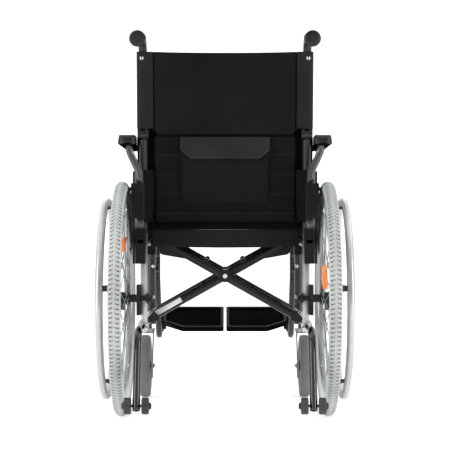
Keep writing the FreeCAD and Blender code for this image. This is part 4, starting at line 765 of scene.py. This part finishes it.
# %% Puffing a sewn pad
def puff(piece, sewn, pressure, cap, frames=20):
    """Swells a pad with its sewn points held, and moves no point further than the cap."""
    scene = bpy.context.scene
    rest = [vertex.co.copy() for vertex in piece.data.vertices]
    pins = piece.vertex_groups.new(name="sewn")
    pins.add([i for i, point in enumerate(rest) if sewn(point)], 1.0, "REPLACE")
    cloth = piece.modifiers.new("cloth", "CLOTH")
    settings = cloth.settings
    settings.vertex_group_mass, settings.quality = "sewn", 6
    settings.use_pressure, settings.uniform_pressure_force = True, pressure
    settings.effector_weights.gravity = 0
    cloth.point_cache.frame_start, cloth.point_cache.frame_end = 1, frames
    for number in range(1, frames + 1):
        scene.frame_set(number)
    shape = piece.evaluated_get(bpy.context.evaluated_depsgraph_get()).data
    moved = [vertex.co.copy() for vertex in shape.vertices]
    piece.modifiers.remove(cloth)
    piece.vertex_groups.remove(pins)
    scene.frame_set(1)
    for vertex, start, end in zip(piece.data.vertices, rest, moved):
        step = end - start
        vertex.co = start + (step.normalized() * min(step.length, cap) if step.length > 0 else step)
    most = max((end - start).length for start, end in zip(rest, moved))
    print("puffed", piece.name, "most", round(most / MM, 1), "mm")


# %% [markdown]
# ## Upper back cover
# The cover is a padded panel between two tunnels. On the real chair it is one sewn piece. Here the tunnels
# ride on their own canes, and the panel rides with the left one.

# %% Cover panel and its tunnels
COVER_LOW, COVER_TOP, HEM, CORNER_LIFT, CORNER, UPPER_FOLD = -1.0, 214.5, 16.0, 12, 0.05, 0.8
TAIL_LOW, TAIL_TOP, UPPER_SLEEVE = -19.5, 24.0, (14.5, 215.0)


def cover_line(u, t):
    """The panel's lower and upper edge: the top dips a little in the middle."""
    across = abs(2 * u - 1)
    if t == 0:
        return COVER_LOW + CORNER_LIFT * (max(0, across - 1 + CORNER) / CORNER) ** 2
    return COVER_TOP - 0.8 * (1 - across ** 9)


def back_sewn(point):
    """True where the panel is stitched down: at both tunnels and along the hem at its foot."""
    rise = (point - HINGE).dot(on_back(0, 0, 1) - HINGE) / MM ** 2
    return abs(point.x) / MM > SEAM_X - 6 or rise < COVER_LOW + HEM


cover = sheet_mesh("upper_back_cover", PANEL, cover_line, 84, 46,
                   padded_face(-7.0, -2.6, 0.35, squareness=3), padded_face(6.0, 2.4, 0.3))
puff(cover, back_sewn, pressure=2.2, cap=0.004)
dress(cover, "black_nylon", "upper_back_left", replaces="back_upper")
tail = sheet_mesh("cover_tail", (-SEAM_X + 4, SEAM_X - 4), level(TAIL_LOW, TAIL_TOP), 60, 8,
                  even(4.7, 0.1), even(7.9, 0.2))
dress(tail, "strap_nylon", "upper_back_left")
for piece in (cover, tail):
    fold_flat(piece)
for name, side in SIDES:
    tunnel = sleeve(f"upper_sleeve_{name}", side, *UPPER_SLEEVE)
    # The dark strip at each seam is painted shade for the gap between panel and tunnel.
    seam = strip_mesh(f"cover_seam_shade_{name}", side, SEAM_SHADE, 4, COVER_TOP - 1, (4, 24), -0.9, 1.2)
    lining = strip_mesh(f"hinge_lining_{name}", side, LINING, -14, 32, (12, 10), 14.2, 16.2)
    for piece, finish in ((tunnel, "sleeve_nylon"), (seam, "lining_nylon"), (lining, "lining_nylon")):
        dress(piece, finish, f"upper_back_{name}")
print("upper back done")

# %% [markdown]
# ## Lower back sling
# Below the hinge the back is a plain sheet with four tension straps across it, each about 52 mm tall. They
# are what lets a dealer tune the back's depth. The straps lap over each other like roof tiles, and the lip of
# each carries a thin painted highlight in lighter cloth.

# %% Sling, straps and tunnels
SLING_LOW, SLING_HIGH, STRAP_TOP, STRAP, LOWER_SLEEVE = -232.0, -7.4, -3.0, 51.4, -94.0
SLING_COLUMNS, SLING_ROWS, LIP_HIGHLIGHT, LOWER_FOLD, FOOT_X = 60, 130, 1.8, 0.6, 204


def strap_face(u, t):
    """The rear face steps in and out once for each strap, and swells again into the roll at the foot."""
    w = SLING_LOW + (SLING_HIGH - SLING_LOW) * t
    depth, roll = STRAP_TOP - w, 4 * STRAP - 12
    if depth > roll:
        share = (depth - roll) / (STRAP_TOP - SLING_LOW - roll)
        return -4.0 - 3.4 * sin(pi * min(1, share)) ** 0.7
    return -2.9 - 1.5 * sin(pi * min(1.0, depth / STRAP % 1 * 1.06)) ** 0.45


sling = sheet_mesh("lower_back_sling", PANEL, level(SLING_LOW, SLING_HIGH), SLING_COLUMNS, SLING_ROWS,
                   strap_face, padded_face(4.0, 2.4, 0.3))
dress(sling, ("strap_nylon", "sleeve_nylon"), "left_frame", replaces="back_lower")
# Faces along the lip of each strap take the lighter sleeve cloth as a painted highlight.
for index, face in enumerate(sling.data.polygons[:SLING_COLUMNS * SLING_ROWS]):
    w = SLING_LOW + (SLING_HIGH - SLING_LOW) * (index // SLING_COLUMNS + 0.5) / SLING_ROWS
    if 0 < (STRAP_TOP - w) % STRAP < LIP_HIGHLIGHT and w < STRAP_TOP - STRAP + 2:
        face.material_index = 1
for name, side in SIDES:
    tunnel = sleeve(f"lower_sleeve_{name}", side, SLING_LOW, LOWER_SLEEVE)
    lining = strip_mesh(f"cane_lining_{name}", side, LINING, LOWER_SLEEVE - 4, -10.5, (12, 20), 11.6, 13.4)
    # The dark strip at each seam is painted shade for the gap between sling and tunnel.
    seam = strip_mesh(f"sling_seam_shade_{name}", side, SEAM_SHADE, SLING_LOW - 5, LOWER_SLEEVE, (4, 24), -0.9, 1.2)
    for piece, finish in ((tunnel, "strap_nylon"), (lining, "lining_nylon"), (seam, "lining_nylon")):
        dress(piece, finish, f"{name}_frame")
foot = sheet_mesh("sling_foot", (-FOOT_X, FOOT_X), level(SLING_LOW - 21, SLING_LOW - 0.3), 60, 8,
                  even(1.8, 0.2), even(3.6, 0.2))
dress(foot, "lining_nylon", "left_frame")
for piece in (sling, foot):
    fold_flat(piece)
print("lower back done")


# %% [markdown]
# ## Pocket and flap
# A flat bag is sewn to the sling, closed by a flap of lighter cloth with bound edges and two cut corners.

# %% Pocket bag
POCKET_X, POCKET_LOW, POCKET_HIGH, SLING_BACK = 114.5, -183.5, -43.0, -5.2


def pocket_line(u, t):
    corner = max(0.0, abs(2 * u - 1) - 0.9) / 0.1
    return POCKET_LOW + 7 * corner ** 2 if t == 0 else POCKET_HIGH


def bag_face(u, t):
    edge = min(1.0, (1 - abs(2 * u - 1)) * 9)
    fall = min(1.0, t * 8) * (0.45 + 0.55 * min(1.0, (1 - t) * 5))
    return SLING_BACK - 2.2 - 9.0 * sqrt(max(0.0, edge * (2 - edge))) * fall + 0.5 * ripple(u, t)


bag = sheet_mesh("back_pocket_bag", (-POCKET_X, POCKET_X), pocket_line, 70, 44, bag_face, even(SLING_BACK))
puff(bag, lambda point: abs(point.x) / MM > POCKET_X - 3, pressure=1.2, cap=0.002)
dress(bag, "black_nylon", "left_frame", replaces="back_pocket")

# %% Pocket flap with its binding
FLAP_TOP, FLAP_LOW, FLAP_CORNER, FLAP_SLOPE, FLAP_THICK, BINDING = -7.4, -61.0, 25.0, 0.84, 3.2, 1.7


def flap_face(x, w):
    """How far behind the sling the flap's outer face stands at a height along the back."""
    drop = min(1.0, max(0.0, (FLAP_TOP - w) / 46.0))
    return SLING_BACK - 4.4 - 13.6 * drop * drop * (3 - 2 * drop) + 0.5 * sin(x / 31.0)


def flap_point(u, t, thick=0.0):
    """A point of the flap at shares across and up. Its lower corners are cut at a slant."""
    x = POCKET_X * (2 * u - 1)
    low = FLAP_LOW + max(0.0, abs(x) - (POCKET_X - FLAP_CORNER)) * FLAP_SLOPE
    w = low + (FLAP_TOP - low) * t
    return on_back(x, flap_face(x, w) + thick, w)


def tape(name, route):
    """A round bound edge that follows a list of points."""
    rings = []
    for i, point in enumerate(route):
        ahead = heading(route, i)
        side = ahead.cross(FORWARD).normalized()
        rings.append(circle(point, side, side.cross(ahead), BINDING, BINDING, 10))
    return ring_mesh(name, rings)


edge = [(0, 1 - i / 14) for i in range(15)] + [(i / 70, 0) for i in range(1, 70)]
edge += [(1, i / 14) for i in range(15)]
flap = shell("pocket_flap_cloth", 80, 24, flap_point, lambda u, t: flap_point(u, t, FLAP_THICK))
dress(flap, "flap_nylon", "left_frame", replaces="pocket_flap")
binding = tape("flap_binding", [flap_point(u, t, FLAP_THICK / 2) for u, t in edge])
dress(binding, "binding_tape", "left_frame")
for piece in (bag, flap, binding):
    fold_flat(piece)
print("pocket done")


# %% [markdown]
# ## Seat sling
# The seat is a padded sheet from rail to rail, with a band of the same cloth hanging at the rear. When the
# cross brace folds, the rails rise and close, and the sheet hangs between them in a U.

# %% Seat sheet
RAIL_X, RAIL_TOP, SEAT_REAR, SEAT_FRONT, SEAT_HALF = 207.0, 491.9, 38.0, 391.0, 218.6
QUILT_LINES, QUILTED_TO, FLAT_FROM = (110.0, 200.0, 290.0), 0.86, 0.9


def seat_top(x, y):
    """The upper face sags between the rails, rounds off at both ends and dips along three quilted lines."""
    across = abs(x) / RAIL_X
    sag = 7.5 * (1 - min(1.0, across) ** 2.2)
    edge = min(1.0, (SEAT_FRONT - y) / 14.0, (y - SEAT_REAR) / 14.0 + 0.35)
    dips = sum(1.6 * exp(-((y - line) / 4.0) ** 2) for line in QUILT_LINES) if across < QUILTED_TO else 0
    return RAIL_TOP + 3.0 - sag - dips - 3.0 * (1 - sqrt(max(0.0, edge)))


def seat_bottom(x, y):
    across = abs(x) / RAIL_X
    if across > FLAT_FROM:
        return RAIL_TOP + 0.3
    return RAIL_TOP - 24.0 * (1 - (across / FLAT_FROM) ** 3) * min(1.0, (SEAT_FRONT - y) / 20.0 + 0.3)


def seat_face(surface):
    def point(u, t):
        x, y = SEAT_HALF * (2 * u - 1), SEAT_REAR + (SEAT_FRONT - SEAT_REAR) * t
        return at(x, y, surface(x, y))

    return point


seat_pad = shell("seat_pad", 88, 80, seat_face(seat_bottom), seat_face(seat_top))

# %% Rear skirt of the seat
SKIRT_Y, SKIRT_HALF, SKIRT_LOW, SKIRT_TOP = 33.6, 196.5, 438.4, 493.5


def skirt_line(u, t):
    """The hem arches up a little at both ends, and the upper edge hangs with the seat."""
    across = abs(2 * u - 1)
    return SKIRT_TOP - 5.0 * (1 - across ** 2) if t else SKIRT_LOW + 5.2 * across ** 2


skirt = sheet_mesh("seat_skirt", (-SKIRT_HALF, SKIRT_HALF), skirt_line, 80, 22, padded_face(-5.2, -2.4, 0.4),
                   padded_face(4.4, 2.4), place=lambda x, v, w: at(x, SKIRT_Y + v, w))
puff(skirt, lambda point: abs(point.x) / MM > SKIRT_HALF - 4.5, pressure=1.6, cap=0.0025)
for piece in (seat_pad, skirt):
    paint(piece, "seat_nylon")
    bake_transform(piece)
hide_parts("seat_sling")
print("seat done")


# %% [markdown]
# ## Armrests
# The pads are moulded skins over foam, flat underneath and narrower at the top. Each stands on a flattened
# alloy tube that leans outwards over the wheel and slides in the box below.

# %% Arm pads
PAD_STEPS, PAD_ROUND, PAD_CORNER, PAD_TAPER = 40, 9.0, 3.2, 3.4


def rounded(cx, cz, wide, tall, radius, count=8):
    """A rectangle with round corners, as a ring of points."""
    ring = []
    for cornering, (sx, sz) in enumerate(((1, 1), (-1, 1), (-1, -1), (1, -1))):
        for k in range(count + 1):
            a = pi / 2 * (cornering + k / count)
            ring.append((cx + sx * (wide / 2 - radius) + radius * cos(a),
                         cz + sz * (tall / 2 - radius) + radius * sin(a)))
    return ring


for name, side in SIDES:
    low, high = (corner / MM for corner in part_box(f"arm_pad_{name}"))
    middle, tall = (low + high) / 2, high.z - low.z
    rings = []
    for i in range(PAD_STEPS + 1):
        y = low.y + (high.y - low.y) * i / PAD_STEPS
        end = min(i, PAD_STEPS - i) / PAD_STEPS * (high.y - low.y)
        inset = PAD_ROUND * (1 - sqrt(1 - (1 - min(1.0, end / PAD_ROUND)) ** 2))
        lift = tall - inset * 0.9
        ring = rounded(middle.x, low.z + lift / 2, high.x - low.x - 2 * inset, lift, PAD_CORNER)
        taper = [PAD_TAPER * max(0, (z - low.z) / tall - 0.1) for _, z in ring]
        rings.append([Vector((x - copysign(less, x - middle.x), y, z)) * MM
                      for (x, z), less in zip(ring, taper)])
    pad = ring_mesh(f"arm_pad_foam_{name}", rings)
    dress(pad, ("pad_foam", "lining_nylon"), f"arm_top_{name}", replaces=f"arm_pad_{name}")
    # Faces that look down take the darkest, unshiny cloth as painted shade under the pad.
    for face in pad.data.polygons:
        face.material_index = 1 if face.normal.z < -0.8 else 0
print("arm pads done")

# %% Arm brackets
# The line of the bracket's tube as (sideways, up).
BRACKET = [Vector(pair) for pair in (
    (222.0, 611.5), (222.6, 622), (224.8, 634), (228.2, 645), (233.2, 657), (239.6, 670), (245.4, 683),
    (250.0, 695), (251.6, 707))]
BRACKET_Y, BRACKET_HALF, BRACKET_END, BRACKET_DEEP = -30.5, 9.6, 8.4, 9.0
# The first three values place and size a thin bright strip along each bracket's inner side, a painted
# highlight.
HIGHLIGHT_Y, HIGHLIGHT_INSET, HIGHLIGHT_HALF, SHIM_X, SHIM_Y, SHIM_SPAN = -36.6, 7.2, 0.9, 220.6, -30.6, (490.8, 516.8)
for name, side in SIDES:
    tube, edge = [], []
    for i, point in enumerate(BRACKET):
        ahead = heading(BRACKET, i)
        across = Vector((ahead.y, -ahead.x))
        tube.append(circle(at(side * point.x, BRACKET_Y, point.y), Vector((side * across.x, 0, across.y)),
                           FORWARD, BRACKET_HALF if i < len(BRACKET) - 1 else BRACKET_END, BRACKET_DEEP, 28))
        inner = point - across * HIGHLIGHT_INSET
        edge.append(circle(at(side * inner.x, HIGHLIGHT_Y, inner.y), Vector((side, 0, 0)), FORWARD,
                           HIGHLIGHT_HALF, HIGHLIGHT_HALF, 8))
    arm = ring_mesh(f"arm_bracket_tube_{name}", tube)
    edge = ring_mesh(f"bracket_highlight_{name}", edge[2:8])
    shim = ring_mesh(f"post_shim_{name}", [[at(side * x, SHIM_Y + y, z) for x, y in
                                            rounded(SHIM_X, 0, 18.0, 15.4, 2.0, 3)] for z in SHIM_SPAN])
    for piece, finish, body in ((arm, "bracket_alloy", "arm_top"), (edge, "rim_alloy", "arm_top"),
                                (shim, "bracket_alloy", "armrest")):
        dress(piece, finish, f"{body}_{name}")
print("brackets done")


# %% [markdown]
# ## Small hardware
# Bolt heads, cup washers and nuts are what the eye uses to judge the size of a thing like this. Each one is
# turned from a short profile, and rides on the body that it fastens.

# %% Bolts, washers, collars and caps
# Profiles as (distance along the facing, radius). The dome rises, rolls over and dips into a driving hole.
CUP = [(-3, 7.4), (0.3, 7.6), (1.3, 7.0), (1.5, 6.2), (0.6, 5.6)]
SCREW = [(-2, 5.0), (1.0, 5.0), (2.6, 4.2), (3.2, 2.8), (3.4, 0.8)]
DOME = [(-1.5, 5.4), (0, 5.4), (2.07, 5.292), (3.91, 4.32), (4.6, 2.7), (4.508, 2.268), (1.61, 1.944)]
NUT = [(0, 7.2), (3.6, 7.2), (4.4, 6.6), (4.4, 4.6), (7.2, 4.4), (7.8, 3.6)]
ROLLER_CAP = [(-2, 9.5), (0, 9.2), (2.6, 8.4), (4.6, 6.6), (5.6, 3.6), (5.8, 0.6)]
COLLAR = [(-10, 12.6), (-6, 14.4), (0, 15.2), (5.0, 15.6), (6.4, 15.0), (6.6, 12)]
BAND = [(4, 14.0), (8.4, 14.4), (9.2, 13.8), (9.2, 9)]
PLUG_LIP = [(8, 12.9), (10.8, 13.1), (11.6, 12.4), (11.4, 9)]
BARREL = [(0, 11.5), (1, 14.0), (25, 14.0), (26, 11.5)]
BOLT_CAP = [(-1, 6.4), (1.4, 6.2), (2.2, 5.2), (2.2, 3.0), (1.0, 2.6)]
SCREW_X, SCREW_W, POST_X, POST_Y, CASTER_Y, CASTER_Z = 216.5, 198, 208.5, 393.6, 404, 90
PLUG_X, PLUG_Z, BARREL_X, WHEEL_RADIUS = 214.5, 235, 251, 307
REAR = on_back(0, -1, 0) - on_back(0, 0, 0)
DOWN = Vector((0, -0.66, -0.75))


def fitting(name, profile, place, facing, steps, finish, body):
    """A small turned piece that rides on the body that it fastens."""
    return dress(turned(name, profile, place, facing, steps), finish, body)


for name, side in SIDES:
    back, chassis, screw = f"upper_back_{name}", f"{name}_frame", on_back(side * SCREW_X, -15.6, SCREW_W)
    fitting(f"sleeve_cup_{name}", CUP, screw, REAR, 24, "button_plastic", back)
    fitting(f"sleeve_screw_{name}", SCREW, screw, REAR, 24, "bolt_steel", back)
    # A dark bar stands over the middle of each screw head as painted slot shade, so the bright head shows two
    # lit halves.
    slot = ring_mesh(f"screw_slot_shade_{name}", [[on_back(side * SCREW_X + x, v, SCREW_W + w) for x, w in
                                             ((-1.2, -4.9), (1.2, -4.9), (1.2, 4.9), (-1.2, 4.9))]
                                            for v in (-16.5, -19.2)])
    slot.data.polygons.foreach_set("use_smooth", [False] * 6)
    dress(slot, "black_rim", back)
    for place, z in (("upper", 380), ("lower", 291)):
        fitting(f"post_bolt_{place}_{name}", DOME, at(side * POST_X, POST_Y, z), (0, -1, 0), 20,
                "bolt_steel", chassis)
    fitting(f"caster_nut_{name}", NUT, at(side * POST_X, CASTER_Y, CASTER_Z), (-side, 0, 0), 6,
            "bolt_steel", f"caster_{name}")
    middle = middle_of(f"anti_tip_wheels_{name}")
    for end, corner in zip((-1, 1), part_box(f"anti_tip_wheels_{name}")):
        fitting(f"roller_cap_{name}_{end + 1}", ROLLER_CAP, (corner.x, middle.y, middle.z), (end, 0, 0), 24,
                "stand_off_black", f"anti_tip_rollers_{name}")
    socket = Vector((side * PLUG_X * MM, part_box(f"rear_frame_{name}")[0].y, PLUG_Z * MM))
    for ring, profile, finish in (("collar", COLLAR, "silver_frame"), ("band", BAND, "gloss_black_tube"),
                                  ("lip", PLUG_LIP, "bolt_steel")):
        fitting(f"plug_{ring}_{name}", profile, socket, DOWN, 32, finish, chassis)
    fitting(f"hub_barrel_{name}", BARREL, at(side * BARREL_X, 0, WHEEL_RADIUS), (side, 0, 0), 28,
            "black_hub", f"wheel_{name}")
paint(frame["nodes"]["cross_bolts"], "black_tube")
low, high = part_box("cross_bolts")
fitting("centre_bolt_cap", BOLT_CAP, (0, low.y, (low.z + high.z) / 2), (0, -1, 0), 24,
        "bolt_steel", "brace_a")
print("hardware done")

# %% The blank label on the brace
ARM_RADIUS, LABEL_FROM, LABEL_LONG, LABEL_TURN, LABEL_ARC = 12.2, 8, 78, -16, 64
arm_low, arm_high = at(-190, 62, 257), at(0, 62, 364)
along = (arm_high - arm_low).normalized()
up = along.cross(FORWARD)


def label_face(lift):
    """The label lies round the rear of the arm's tube, a hair above it."""
    def point(u, t):
        a = radians(LABEL_TURN + LABEL_ARC * u)
        out = up * sin(a) - FORWARD * cos(a)
        return arm_low + (along * (LABEL_FROM + LABEL_LONG * t) + out * (ARM_RADIUS + lift)) * MM

    return point


dress(shell("blank_label", 12, 1, label_face(0.25), label_face(0.7)), "label_white", "brace_a")
print("label done")


# %% [markdown]
# ## Push handle grips
# A grip is a soft sleeve with ribs and a wide disc at its end. Its end stands a few millimetres further out
# than its root, since hands push from slightly outside.

# %% Ribbed grips
RIBS, RIB_START, RIB_PITCH, RIB_GROWTH, GRIP_END = 8, 9.4, 10.6, 0.35, 111.0
GRIP_X, GRIP_Y, GRIP_Z, SPLAY, DROOP = 215.6, -102.0, 979.4, 0.025, radians(8.0)
for name, side in SIDES:
    profile = [(-0.4, 11.6), (0.2, 13.0), (1.6, 14.4), (5.2, 14.6), (7.4, 13.4)]
    for k in range(RIBS):
        start, grown = RIB_START + k * RIB_PITCH, k * RIB_GROWTH
        profile += [(start, 12.8 + grown), (start + 1.6, 14.6 + grown), (start + 5.4, 14.9 + grown),
                    (start + 7.4, 14.2 + grown), (start + 9.0, 12.8 + grown)]
    profile += [(96, 16.8), (99, 19.4), (101.5, 20.7), (108, 20.8), (GRIP_END - 1.2, 20.2), (GRIP_END, 18.4),
                (GRIP_END + 0.3, 8), (GRIP_END, 2)]
    grip = turned(f"ribbed_grip_{name}", profile, at(side * GRIP_X, GRIP_Y, GRIP_Z),
                  (side * SPLAY, -cos(DROOP), -sin(DROOP)), 40)
    dress(grip, "grip_rubber", f"upper_back_{name}", replaces=f"hand_grip_{name}")
print("grips done")
